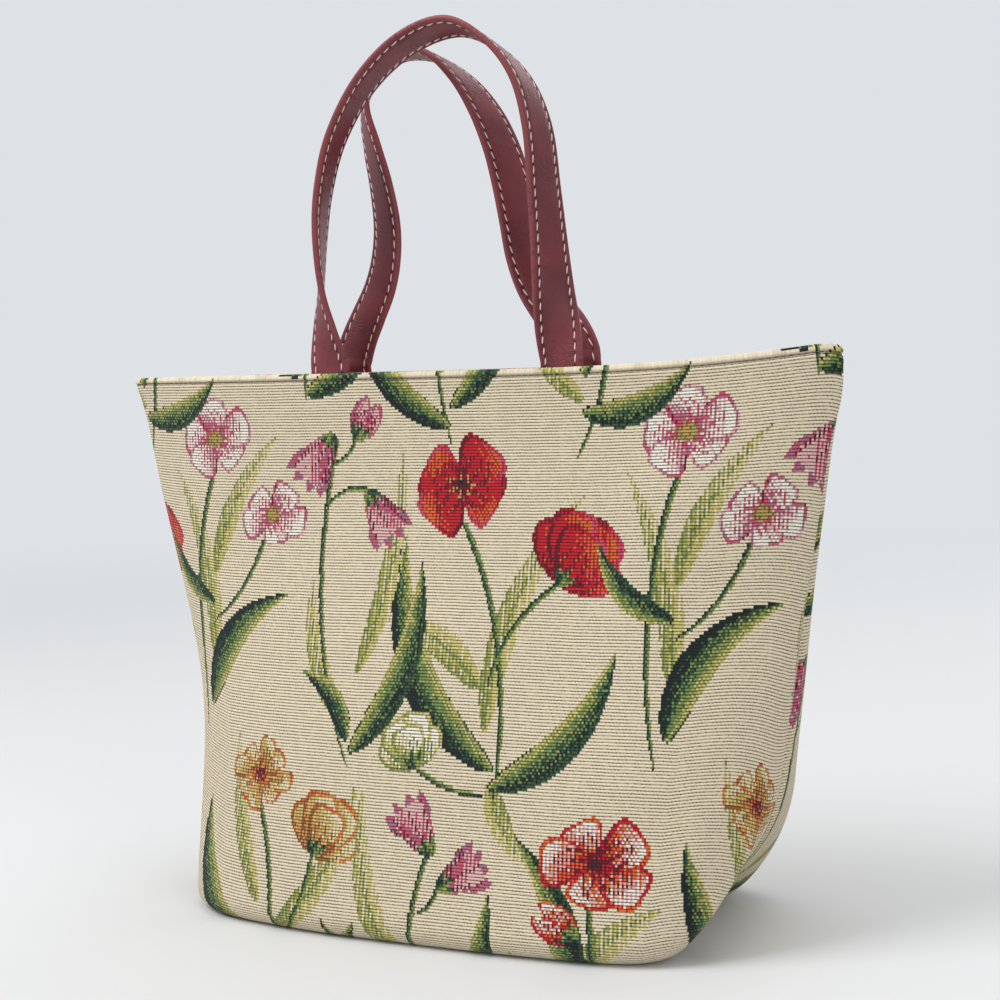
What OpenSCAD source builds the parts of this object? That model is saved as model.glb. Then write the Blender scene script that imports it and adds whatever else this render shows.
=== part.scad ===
// Tapestry tote bag: two woven panels sewn at the sides and boxed at the bottom, a facing inside
// the rim, a lining and two strap handles whose ends are caught between panel and facing.
// Millimetres, standing on the floor, front towards -Y, origin under the middle of the bag.

/* [Bag] */
// Height of the rim above the floor
bag_h = 270; // [220:1:340]
// Width across the side seams at the rim
rim_w = 388; // [340:1:460]
// Width across the side seams, carried straight down to the floor
foot_w = 288; // [260:1:320]
// Depth from front to back at the middle of the rim
rim_d = 32; // [30:1:60]
// Depth from front to back, carried straight down to the floor
foot_d = 174; // [130:1:200]
// Width of the bottom between the two corners of a box seam
base_w = 220; // [190:1:240]

/* [Soft shape] */
// Radius of the turn from the front and the back into the bottom
front_turn_r = 10; // [7:1:20]
// Radius of the turn from the left side seam into the bottom
left_turn_r = 12; // [8:1:60]
// Radius of the turn from the right side seam into the bottom
right_turn_r = 78; // [40:1:85]
// Rise of the box seam above the floor where it meets the side seam
box_rise = 4; // [1:0.5:8]
// Lift of the right corner of the rim
corner_lift = 9; // [0:1:14]
// Sway of the walls towards the back at its fullest, above half height
wall_sway = 9; // [0:1:12]
// Shift of the foot to the right of the rim
foot_shift = 7.5; // [0:0.5:12]

/* [Cloth] */
// Thickness of the tapestry with its fused backing
panel_t = 2; // [1.6:0.1:3]
// Thickness of the tapestry facing inside the rim
facing_t = 1.6; // [1.2:0.1:2]
// Height of the facing
facing_h = 35; // [30:1:50]
// Thickness of the lining
lining_t = 0.8; // [0.6:0.1:1.2]
// Air left between two layers of cloth
cloth_gap = 0.5; // [0.4:0.05:0.8]
// Extra room that the facing leaves behind a strap end
strap_ease = 0.8; // [0.5:0.1:1.2]

/* [Handles] */
// Distance between the two ends of a handle, middle to middle
handle_spacing = 129; // [110:1:150]
// Shift of both handles to the left of the bag's middle
handle_shift = 2.5; // [0:0.5:6]
// Height of the front handle above the rim
front_rise = 166; // [130:1:200]
// Height of the back handle above the rim, measured as the front one's
back_rise = 168; // [130:1:200]
// Width of the strap
strap_w = 22; // [16:0.5:26]
// Thickness of the strap
strap_t = 3.4; // [2.6:0.1:4]
// Length of strap that is caught below the rim
strap_tail = 22; // [14:1:26]
// Distance of the middle of each handle's arch from the middle of the bag
handle_stand = 13.5; // [13:0.5:18]

/* [Hidden] */
front = -1;
back = 1;

// Squareness of the outline seen from above, and how blunt its ends are at the floor and at the rim
outline_square = 3.2;
foot_blunt = 3;
rim_blunt = 1.3;
// How late the turn widens towards the side seams, on the front and on the back
front_turn_power = 13;
back_turn_power = 5;
// How late the corner lift sets in across and up the wall
lift_power = 3;

// Steps of the cloth grid: across the front, across each side, down the wall and round the turn
front_steps = 20;
side_steps = 8;
wall_steps = 13;
turn_steps = 5;
columns = front_steps + 2 * side_steps;
rows = wall_steps + turn_steps;

// The facing's own grid, and the soft shoulder beside each strap end
facing_columns = 64;
strap_shoulder = 9;
shoulder_flat = 6;

// Offsets of each layer's two faces from the outside of the bag
facing_out = panel_t + cloth_gap;
lining_out = panel_t + cloth_gap;
lining_in = lining_out + lining_t;
lining_top = facing_h + cloth_gap;

// Angle of the column at which the bottom's corner lies
corner_angle = asin(base_w / foot_w);
// Share of the bottom's half width that lies flat on the floor
flat_share = 0.8;

// Handle routes from the left end to the right end. Each point is
// [across in half spacings, up in rises, twist, tilt], with the twist and tilt in degrees.
front_route = [
    [-1.00, 0.00, 0, 0], [-1.01, 0.04, -5, 0], [-1.03, 0.13, -30, 0], [-1.04, 0.26, -59, 0],
    [-1.03, 0.42, -74, 0], [-0.98, 0.56, -80, 0], [-0.85, 0.71, -84, 3], [-0.58, 0.86, -87, 8],
    [-0.21, 0.965, -90, 14], [0.19, 1.00, -90, 16], [0.52, 0.935, -90, 10], [0.75, 0.83, -95, 5],
    [0.87, 0.69, -104, 0], [0.91, 0.52, -110, 0], [0.94, 0.36, -118, 0], [0.96, 0.22, -132, 0],
    [0.98, 0.11, -156, 0], [0.995, 0.04, -175, 0], [1.00, 0.00, -180, 0],
];
back_route = [
    [-1.00, 0.00, 180, 0], [-0.985, 0.045, 178, 0], [-0.93, 0.105, 174, 0], [-0.84, 0.175, 169, 0],
    [-0.74, 0.255, 164, 0], [-0.68, 0.34, 159, 0], [-0.66, 0.44, 154, 0], [-0.70, 0.56, 147, 0],
    [-0.77, 0.68, 138, 0], [-0.82, 0.79, 125, -3], [-0.74, 0.89, 110, -6], [-0.50, 0.955, 98, -10],
    [-0.20, 0.935, 88, -9], [0.05, 0.86, 77, -5], [0.24, 0.76, 66, -2], [0.37, 0.65, 58, 0],
    [0.45, 0.54, 52, 0], [0.51, 0.43, 46, 0], [0.56, 0.33, 40, 0], [0.65, 0.24, 32, 0],
    [0.78, 0.165, 22, 0], [0.91, 0.10, 11, 0], [0.985, 0.045, 3, 0], [1.00, 0.00, 0, 0],
];
// Rings between two points of a route, and how soon a strap leaves the slope of the wall
rings_per_point = 3;
lean_share = 0.35;
// Share of the strap's thickness that its folded edge keeps flat
edge_flat = 0.4;

tapestry = [0.88, 0.82, 0.68];
lining_cloth = [0.80, 0.74, 0.62];
burgundy = [0.42, 0.16, 0.18];

function mix(a, b, k) = a + (b - a) * k;
function unit(v) = v / norm(v);
function smooth(k) = let(c = min(max(k, 0), 1)) c * c * (3 - 2 * c);

// Half width, half depth and end shape of the bag at a height, for a layer inside the outer face
function half_width(inset, z) = mix(foot_w, rim_w, z / bag_h) / 2 - inset;
function half_depth(inset, z) = mix(foot_d, rim_d, z / bag_h) / 2 - inset;
function bluntness(z) = mix(foot_blunt, rim_blunt, z / bag_h);

// Depth share of the outline at a share of the half width
function depth_share(across, blunt) = pow(max(0, 1 - pow(abs(across), outline_square)), 1 / blunt);

// Point of the outline seen from above, at the column angle a from -90 to 90
function outline(inset, z, a) =
    [half_width(inset, z) * sin(a), -half_depth(inset, z) * depth_share(sin(a), bluntness(z))];

// Outward direction of the outline at the floor
function outward(a) = let(
        s = abs(sin(a)),
        gx = outline_square * pow(s, outline_square - 1) / foot_w,
        gy = foot_blunt * pow(max(0, 1 - pow(s, outline_square)), 1 - 1 / foot_blunt) / foot_d)
    unit([sign(sin(a)) * gx, -gy]);

function turn_radius(side, inset, a) = let(
        power = side == front ? front_turn_power : back_turn_power)
    mix(front_turn_r, a < 0 ? left_turn_r : right_turn_r, pow(abs(sin(a)), power)) - inset;

// Height of the wall's lower edge above the bottom's own plane
function edge_rise(a) = let(
        s = abs(sin(a)),
        s0 = sin(corner_angle))
    s > s0 ? box_rise * pow((s - s0) / (1 - s0), 2) : 0;

// Sway at a height, none at the floor and at the rim
function sway(z) = wall_sway * sin(180 * pow(z / bag_h, 2));

// Soft shift, sway and corner lift, shared by every layer of cloth; side is front or back
function settle(side, p) = [
    p[0] + foot_shift * (1 - p[2] / bag_h),
    -side * p[1] + sway(p[2]),
    p[2] + corner_lift * pow(max(0, 2 * p[0] / rim_w), lift_power) * pow(p[2] / bag_h, lift_power),
];

// Angle of column j, with the front columns between the two corners
function column_angle(j) =
    j < side_steps ? mix(-90, -corner_angle, j / side_steps) :
    j > side_steps + front_steps ?
        mix(corner_angle, 90, (j - side_steps - front_steps) / side_steps) :
    mix(-corner_angle, corner_angle, (j - side_steps) / front_steps);

// Point of a layer on its straight wall
function wall_point(side, inset, top_z, a, share) = let(
        z = mix(top_z, inset + turn_radius(side, inset, a), share),
        o = outline(inset, z, a))
    [o[0], o[1], z];

// Point of a layer on the turn into the bottom
function turn_point(side, inset, a, share) = let(
        r = turn_radius(side, inset, a),
        angle = share * asin(1 - edge_rise(a) / r),
        z = inset + r - r * sin(angle),
        o = outline(inset, z, a) - outward(a) * (r - r * cos(angle)))
    [o[0], o[1], z];

function cloth_row(side, inset, top_z, i) = [
    for (j = [0 : columns])
        let(a = column_angle(j))
        i <= wall_steps ? wall_point(side, inset, top_z, a, i / wall_steps)
                        : turn_point(side, inset, a, (i - wall_steps) / turn_steps)
];

// Place along the bottom seam of front column i, from 0 to 1, the same on both sides of the seam
function seam_share(i) = (1 + sin(column_angle(side_steps + i)) / sin(corner_angle)) / 2;

// Points of the bottom between its two box seams, worked out from the wall's lower edge
function bottom_points(inset, edge) = let(
        left = edge[side_steps],
        right = edge[side_steps + front_steps])
    [for (m = [1 : side_steps])
        for (i = [1 : front_steps - 1])
            let(left_seam = edge[side_steps - m],
                right_seam = edge[side_steps + front_steps + m],
                start = edge[side_steps + i],
                edge_share = (start[0] - left[0]) / (right[0] - left[0]),
                share = mix(edge_share, seam_share(i), m / side_steps),
                curl = max(0, (abs(2 * share - 1) - flat_share) / (1 - flat_share)))
            [mix(left_seam[0], right_seam[0], share),
             start[1] * mix(left_seam[1] / left[1], right_seam[1] / right[1], share),
             inset + (mix(left_seam[2], right_seam[2], share) - inset) * curl * curl]];

// All points of one layer: the wall row by row, then the bottom
function layer_points(side, inset, top_z) = let(
        wall = [for (i = [0 : rows]) cloth_row(side, inset, top_z, i)])
    [for (p = concat([for (row = wall) each row], bottom_points(inset, wall[rows]))) settle(side, p)];

function wall_index(i, j) = i * (columns + 1) + j;
function bottom_index(m, i) =
    i == 0 ? wall_index(rows, side_steps - m) :
    i == front_steps ? wall_index(rows, side_steps + front_steps + m) :
    m == 0 ? wall_index(rows, side_steps + i) :
    (rows + 1) * (columns + 1) + (m - 1) * (front_steps - 1) + i - 1;

// Two triangles over four corners that run clockwise seen from outside
function two_triangles(a, b, c, d) = [[a, b, c], [a, c, d]];
function flipped(faces) = [for (f = faces) [f[2], f[1], f[0]]];
function shifted(faces, n) = [for (f = faces) [f[0] + n, f[1] + n, f[2] + n]];

// Strip of faces between the free edge of a layer and the same edge n points later
function edge_strip(loop, n) = [
    for (k = [0 : len(loop) - 1])
        let(p = loop[k],
            q = loop[(k + 1) % len(loop)])
        each two_triangles(q, p, p + n, q + n)
];

function layer_faces() = [
    for (i = [0 : rows - 1])
        for (j = [0 : columns - 1])
            each two_triangles(wall_index(i, j), wall_index(i, j + 1),
                               wall_index(i + 1, j + 1), wall_index(i + 1, j)),
    for (m = [0 : side_steps - 1])
        for (i = [0 : front_steps - 1])
            each two_triangles(bottom_index(m, i), bottom_index(m, i + 1),
                               bottom_index(m + 1, i + 1), bottom_index(m + 1, i)),
];

// Free edge of a layer: rim, right side seam, bottom seam, left side seam
function layer_loop() = [
    for (j = [0 : columns]) wall_index(0, j),
    for (i = [1 : rows]) wall_index(i, columns),
    for (i = [front_steps - 1 : -1 : 0]) bottom_index(side_steps, i),
    for (i = [rows - 1 : -1 : 1]) wall_index(i, 0),
];

// Closed solid between two layers of points that share one pattern of faces
module cloth_solid(outer, inner, faces, loop, side) {
    n = len(outer);
    shell = concat(faces, flipped(shifted(faces, n)), edge_strip(loop, n));
    polyhedron(concat(outer, inner), side == front ? shell : flipped(shell), convexity = 6);
}

// A panel with half of the bottom, between two distances from the outside of the bag
module boxed_cloth(side, inset_out, inset_in, top_z) {
    cloth_solid(layer_points(side, inset_out, top_z), layer_points(side, inset_in, top_z),
                layer_faces(), layer_loop(), side);
}

// How far the facing is pushed in by a strap end, from 0 to 1
function strap_push(x, depth) = let(
        beside = abs(abs(x + handle_shift) - handle_spacing / 2) - strap_w / 2 - shoulder_flat,
        below = (depth - strap_tail - cloth_gap) / (facing_h - strap_tail - cloth_gap))
    (1 - smooth(beside / strap_shoulder)) * (1 - smooth(below));

// Depths of the facing's rows below the rim, with one row level with the strap's lower end
facing_depths = [0, strap_tail / 2, strap_tail, strap_tail + cloth_gap, (strap_tail + facing_h) / 2, facing_h];

function facing_points(side, inset) = [
    for (depth = facing_depths)
        for (j = [0 : facing_columns])
            let(a = mix(-90, 90, j / facing_columns),
                z = bag_h - depth,
                o = outline(inset, z, a),
                push = strap_push(o[0], depth) * (strap_t + cloth_gap + strap_ease))
            settle(side, [o[0], min(o[1] + push, 0), z])
];

module facing(side) {
    across = facing_columns + 1;
    down = len(facing_depths) - 1;
    faces = [
        for (i = [0 : down - 1])
            for (j = [0 : facing_columns - 1])
                each two_triangles(i * across + j, i * across + j + 1,
                                   (i + 1) * across + j + 1, (i + 1) * across + j)
    ];
    loop = [
        for (j = [0 : facing_columns]) j,
        for (i = [1 : down]) i * across + facing_columns,
        for (j = [facing_columns - 1 : -1 : 0]) down * across + j,
        for (i = [down - 1 : -1 : 1]) i * across,
    ];
    cloth_solid(facing_points(side, facing_out), facing_points(side, facing_out + facing_t),
                faces, loop, side);
}

// Distance behind the middle of the bag of a strap end that lies against the inside of its panel
function strap_seat(side, z) = let(
        edge_x = handle_spacing / 2 + handle_shift + strap_w / 2,
        inner = half_depth(panel_t, z) * depth_share(edge_x / half_width(panel_t, z), bluntness(z)))
    side * (inner - cloth_gap - strap_t / 2) + sway(z);

// Place across the bag of a route point, from -1 at the left end to 1 at the right end
function strap_x(across) = across * handle_spacing / 2 - handle_shift;

// Route points of a handle with its two caught ends: [x, y, z, twist, tilt]
function handle_points(side, route, rise) = let(
        first = route[0],
        last = route[len(route) - 1],
        seat_y = strap_seat(side, bag_h),
        low_z = bag_h - strap_tail,
        low_y = strap_seat(side, low_z))
    concat(
        [[strap_x(first[0]), low_y, low_z, first[2], first[3]]],
        [for (p = route)
            [strap_x(p[0]), mix(seat_y, side * handle_stand, smooth(p[1] / lean_share)),
             bag_h + p[1] * rise, p[2], p[3]]],
        [[strap_x(last[0]), low_y, low_z, last[2], last[3]]]);

// Smooth curve through a list of points, with the tangent at each point set by its neighbours
function curve_point(points, k, t) = let(
        n = len(points) - 1,
        p0 = points[max(k - 1, 0)],
        p1 = points[k],
        p2 = points[min(k + 1, n)],
        p3 = points[min(k + 2, n)])
    0.5 * (2 * p1 + (p2 - p0) * t + (2 * p0 - 5 * p1 + 4 * p2 - p3) * t * t
           + (3 * p1 - p0 - 3 * p2 + p3) * t * t * t);

function curve(points) = concat(
    [for (k = [0 : len(points) - 2])
        for (s = [0 : rings_per_point - 1])
            curve_point(points, k, s / rings_per_point)],
    [points[len(points) - 1]]);

function place(p) = [p[0], p[1], p[2]];

// Outline of the strap across its width, with its folded edges rounded off
strap_profile = let(
        w = strap_w / 2,
        t = strap_t / 2,
        e = strap_t * edge_flat / 2,
        c = strap_t / 2)
    [[-w, -e], [-w + c, -t], [w - c, -t], [w, -e], [w, e], [w - c, t], [-w + c, t], [-w, e]];

// One ring of strap corners at step k of a curve
function strap_ring(path, k) = let(
        here = path[k],
        ahead = unit(place(path[min(k + 1, len(path) - 1)]) - place(path[max(k - 1, 0)])),
        wide = [cos(here[3]) * cos(here[4]), sin(here[3]) * cos(here[4]), sin(here[4])],
        across = unit(wide - ahead * (wide * ahead)),
        outer = cross(across, ahead))
    [for (q = strap_profile) place(here) + across * q[0] + outer * q[1]];

module strap(path) {
    corners = len(strap_profile);
    last = len(path) - 1;
    points = [for (k = [0 : last]) each strap_ring(path, k)];
    sides = [
        for (k = [0 : last - 1])
            for (c = [0 : corners - 1])
                let(d = (c + 1) % corners)
                each two_triangles(k * corners + c, (k + 1) * corners + c,
                                   (k + 1) * corners + d, k * corners + d)
    ];
    start_cap = [for (c = [0 : corners - 1]) c];
    end_cap = [for (c = [corners - 1 : -1 : 0]) last * corners + c];
    polyhedron(points, concat(sides, [start_cap], [end_cap]), convexity = 10);
}

module front_panel() {
    color(tapestry) boxed_cloth(front, 0, panel_t, bag_h);
}

module back_panel() {
    color(tapestry) boxed_cloth(back, 0, panel_t, bag_h);
}

module front_facing() {
    color(tapestry) facing(front);
}

module back_facing() {
    color(tapestry) facing(back);
}

module front_lining() {
    color(lining_cloth) boxed_cloth(front, lining_out, lining_in, bag_h - lining_top);
}

module back_lining() {
    color(lining_cloth) boxed_cloth(back, lining_out, lining_in, bag_h - lining_top);
}

module front_handle() {
    color(burgundy) strap(curve(handle_points(front, front_route, front_rise)));
}

module back_handle() {
    color(burgundy) strap(curve(handle_points(back, back_route, back_rise)));
}

front_panel();
back_panel();
front_facing();
back_facing();
front_lining();
back_lining();
front_handle();
back_handle();
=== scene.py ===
"""Tapestry tote bag: woven panels, facings, linings and stitched strap handles around the packed solids."""

import math

import bmesh
import bpy
import numpy as np
from mathutils import Matrix, Vector


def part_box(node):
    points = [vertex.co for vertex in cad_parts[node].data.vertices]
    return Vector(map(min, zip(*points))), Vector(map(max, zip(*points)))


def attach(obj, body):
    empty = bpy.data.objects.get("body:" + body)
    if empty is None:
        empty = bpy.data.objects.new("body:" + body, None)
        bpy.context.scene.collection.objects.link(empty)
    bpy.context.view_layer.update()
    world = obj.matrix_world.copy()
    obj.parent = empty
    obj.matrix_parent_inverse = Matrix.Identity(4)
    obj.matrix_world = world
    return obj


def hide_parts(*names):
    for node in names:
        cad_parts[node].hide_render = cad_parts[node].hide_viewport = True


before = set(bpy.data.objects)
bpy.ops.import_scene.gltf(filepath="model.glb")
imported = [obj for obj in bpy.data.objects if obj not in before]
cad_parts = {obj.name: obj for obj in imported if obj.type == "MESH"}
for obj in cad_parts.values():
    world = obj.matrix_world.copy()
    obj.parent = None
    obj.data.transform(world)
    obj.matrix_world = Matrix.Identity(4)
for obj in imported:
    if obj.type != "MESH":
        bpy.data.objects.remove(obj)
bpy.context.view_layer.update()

bl_info = {
    "name": "Tapestry Tote Bag",
    "version": (1, 0, 0),
    "blender": (4, 5, 0),
    "location": "View3D > Sidebar > Tote Bag",
    "description": "Builds a woven tote bag with stitched strap handles",
    "category": "Add Mesh",
}

PANEL_LOW, PANEL_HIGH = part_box("front_panel")
FACING_LOW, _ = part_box("front_facing")
CORNER_LIFT = 0.009
RIM_HEIGHT = PANEL_HIGH.z - CORNER_LIFT
FRONT = -1
BACK = 1
SIDE_NAMES = {FRONT: "front", BACK: "back"}

# Handle routes from the left end to the right end. Each point is
# [across in half spacings, up in rises, twist, tilt], with the twist and tilt in degrees.
FRONT_ROUTE = [
    [-1.00, 0.00, 0, 0], [-1.01, 0.04, -5, 0], [-1.03, 0.13, -30, 0], [-1.04, 0.26, -59, 0],
    [-1.03, 0.42, -74, 0], [-0.98, 0.56, -80, 0], [-0.85, 0.71, -84, 3], [-0.58, 0.86, -87, 8],
    [-0.21, 0.965, -90, 14], [0.19, 1.00, -90, 16], [0.52, 0.935, -90, 10], [0.75, 0.83, -95, 5],
    [0.87, 0.69, -104, 0], [0.91, 0.52, -110, 0], [0.94, 0.36, -118, 0], [0.96, 0.22, -132, 0],
    [0.98, 0.11, -156, 0], [0.995, 0.04, -175, 0], [1.00, 0.00, -180, 0],
]
BACK_ROUTE = [
    [-1.00, 0.00, 180, 0], [-0.985, 0.045, 178, 0], [-0.93, 0.105, 174, 0], [-0.84, 0.175, 169, 0],
    [-0.74, 0.255, 164, 0], [-0.68, 0.34, 159, 0], [-0.66, 0.44, 154, 0], [-0.70, 0.56, 147, 0],
    [-0.77, 0.68, 138, 0], [-0.82, 0.79, 125, -3], [-0.74, 0.89, 110, -6], [-0.50, 0.955, 98, -10],
    [-0.20, 0.935, 88, -9], [0.05, 0.86, 77, -5], [0.24, 0.76, 66, -2], [0.37, 0.65, 58, 0],
    [0.45, 0.54, 52, 0], [0.51, 0.43, 46, 0], [0.56, 0.33, 40, 0], [0.65, 0.24, 32, 0],
    [0.78, 0.165, 22, 0], [0.91, 0.10, 11, 0], [0.985, 0.045, 3, 0], [1.00, 0.00, 0, 0],
]

# Soft dents and swells of a panel: [across from -1 to 1, metres below the rim, half width and half
# length in metres, lean, depth in metres], where a swell has a depth below nothing.
PANEL_DENTS = [
    [0.44, 0.080, 0.020, 0.060, 0.25, 0.0022],
    [0.62, 0.066, 0.050, 0.034, 0.00, -0.0054],
    [0.60, 0.215, 0.055, 0.036, 0.00, -0.0030],
    [-0.38, 0.075, 0.026, 0.055, -0.15, 0.0018],
    [0.05, 0.150, 0.075, 0.065, 0.00, -0.0026],
    [0.55, 0.225, 0.020, 0.055, 0.75, 0.0022],
    [-0.55, 0.235, 0.022, 0.045, -0.60, 0.0020],
    [-0.64, 0.130, 0.030, 0.065, 0.10, 0.0018],
    [0.74, 0.140, 0.030, 0.075, 0.00, 0.0020],
    [0.20, 0.220, 0.050, 0.028, 0.10, 0.0012],
]

# Bows of the side seams: [share of the height, spread in shares, metres outwards].
LEFT_BOWS = [[0.80, 0.22, 0.0067], [0.38, 0.20, -0.0074], [0.00, 0.14, 0.0056]]
RIGHT_BOWS = [[0.93, 0.07, 0.0026], [0.88, 0.16, 0.0026], [0.40, 0.22, 0.0019], [0.10, 0.14, 0.0019]]


def srgb(red, green, blue):
    """Linear colour of an eight-bit screen colour."""
    shares = (value / 255 for value in (red, green, blue))
    return tuple(v / 12.92 if v <= 0.04045 else ((v + 0.055) / 1.055) ** 2.4 for v in shares)


def length_property(name, description, default):
    return bpy.props.FloatProperty(
        name=name, description=description, default=default, min=0, precision=5, unit="LENGTH")


def colour_property(name, description, default):
    return bpy.props.FloatVectorProperty(
        name=name, description=description, default=default, min=0, max=1, size=3, subtype="COLOR")


class TOTE_PG_bag(bpy.types.PropertyGroup):
    """Form of the standing bag"""

    corner_lift: length_property("Corner lift", "Lift of the right corner of the rim", CORNER_LIFT)
    height: length_property("Height", "Height of the rim above the floor", RIM_HEIGHT)
    rim_width: length_property("Rim width", "Width across the seams at the rim", PANEL_HIGH.x - PANEL_LOW.x)
    foot_width: length_property("Foot width", "Width across the seams, carried down to the floor", 0.2874)
    rim_depth: length_property("Rim depth", "Depth at the middle of the rim", 0.032)
    foot_depth: length_property("Foot depth", "Depth, carried straight down to the floor", 0.1684)
    base_width: length_property("Base width", "Width of the bottom between two corners", 0.220)
    front_turn: length_property("Front turn", "Radius of the turn into the bottom", 0.0122)
    left_turn: length_property("Left turn", "Radius of the turn at the left seam", 0.0055)
    right_turn: length_property("Right turn", "Radius of the turn at the right seam", 0.0795)
    box_rise: length_property("Box rise", "Rise of the box seam at the side seam", 0.004)
    wall_sway: length_property("Wall sway", "Sway of the walls towards the back", 0.009)
    foot_shift: length_property("Foot shift", "Shift of the foot to the right of the rim", 0.0092)


class TOTE_PG_cloth(bpy.types.PropertyGroup):
    """Thickness of the layers and pitch of the weave"""

    panel_thickness: length_property("Panel", "Thickness of the tapestry with its backing", 0.002)
    facing_thickness: length_property("Facing", "Thickness of the facing", 0.0016)
    facing_height: length_property("Facing height", "Height of the facing", RIM_HEIGHT - FACING_LOW.z)
    lining_thickness: length_property("Lining", "Thickness of the lining", 0.0008)
    gap: length_property("Gap", "Air between two layers of cloth", 0.0005)
    rib: length_property("Rib", "Pitch of the ribs", 0.0015)
    thread: length_property("Thread", "Pitch of the threads that cross the ribs", 0.001)
    topstitch: length_property("Topstitch", "Distance of the topstitching from the rim", 0.0024)


class TOTE_PG_handles(bpy.types.PropertyGroup):
    """Strap handles and their stitching"""

    spacing: length_property("Spacing", "Distance between the two ends of a handle", 0.129)
    shift: length_property("Shift", "Shift of both handles to the left of the middle", 0.0025)
    front_rise: length_property("Front rise", "Height of the front handle's route above the rim", 0.166)
    back_rise: length_property("Back rise", "Height of the back handle's route above the rim", 0.168)
    stand: length_property("Stand", "Distance of an arch from the middle of the bag", 0.0135)
    width: length_property("Width", "Width of the strap", 0.022)
    thickness: length_property("Thickness", "Thickness of the strap", 0.0034)
    tail: length_property("Tail", "Length of strap caught below the rim", 0.022)
    ease: length_property("Ease", "Room that the facing leaves behind a strap end", 0.0008)
    stitch_inset: length_property("Stitch inset", "Distance of a stitch row from the strap's edge", 0.0033)
    stitch_pitch: length_property("Stitch pitch", "Distance from stitch to stitch", 0.0053)
    stitch_length: length_property("Stitch length", "Length of thread that shows", 0.0043)
    thread: length_property("Thread", "Thickness of the thread", 0.00078)


class TOTE_PG_colours(bpy.types.PropertyGroup):
    """Colours of the yarns, the strap and the stage"""

    cream: colour_property("Cream", "Ground of the tapestry", srgb(229, 217, 192))
    straw: colour_property("Straw", "Pale leaves", srgb(206, 196, 122))
    olive: colour_property("Olive", "Shade of the pale leaves", srgb(164, 164, 88))
    leaf_green: colour_property("Leaf green", "Light half of a leaf", srgb(112, 138, 78))
    deep_green: colour_property("Deep green", "Dark half of a leaf", srgb(50, 84, 56))
    black_green: colour_property("Black green", "Edges of leaves and stems", srgb(20, 36, 34))
    red: colour_property("Red", "Poppies", srgb(196, 22, 40))
    wine: colour_property("Wine", "Shade of the poppies", srgb(112, 12, 36))
    orange: colour_property("Orange", "Flare of the poppies", srgb(218, 106, 44))
    ochre: colour_property("Ochre", "Marigolds", srgb(206, 152, 82))
    brown: colour_property("Brown", "Shade of the marigolds", srgb(146, 92, 48))
    pink: colour_property("Pink", "Bells and wild roses", srgb(204, 78, 108))
    mauve: colour_property("Mauve", "Shade of the bells", srgb(172, 108, 134))
    blush: colour_property("Blush", "Edges of petals", srgb(226, 184, 182))
    white: colour_property("White", "Lights on petals", srgb(242, 238, 226))
    lining: colour_property("Lining", "Plain cotton of the lining", srgb(205, 190, 160))
    strap: colour_property("Strap", "Burgundy leather of the straps", srgb(110, 50, 56))
    # Painted highlight along the rolled edges of the straps.
    strap_edge_highlight: colour_property("Strap edge", "Painted highlight on the rolled edges of the straps", srgb(134, 66, 68))
    thread: colour_property("Thread", "Thread of the strap stitches", srgb(248, 218, 206))
    # Rim thread: the thread's cream, darkened with painted shade of the groove that it sinks into.
    shaded_rim_thread: colour_property("Rim thread", "Thread of the topstitched rim", srgb(196, 182, 152))
    floor: colour_property("Floor", "Floor around the bag", srgb(214, 215, 216))
    backdrop: colour_property("Backdrop", "Background of the picture", srgb(222, 226, 230))


# Form of the bag

OUTLINE_SQUARE = 3.75
FOOT_BLUNT = 3.65
RIM_BLUNT = 1.3
TURN_POWERS = {FRONT: 15, BACK: 6.6}
LEFT_TURN_POWER = 5
LIFT_POWER = 3
FLAT_SHARE = 0.8
LEAN_SHARE = 0.35
LEFT_DROP = 0.0008
RIGHT_DROP = 0.003
CORNER_POWER = 60
DROP_POWER = 8
SEAM_PULL = 0.005
PULL_POWER = 30
PULL_HEIGHT = 0.4
PULL_SPREAD = 0.3
ANGLE_STEPS = 721
HEIGHT_STEPS = 41


def mix(a, b, k):
    return a + (b - a) * k


def smooth(k):
    share = np.clip(k, 0, 1)
    return share * share * (3 - 2 * share)


def bell_curve(distance, width):
    return np.exp(-(distance / width) ** 2)


def bow(bows, up):
    return sum(out * bell_curve(up - place, spread) for place, spread, out in bows)


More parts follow.
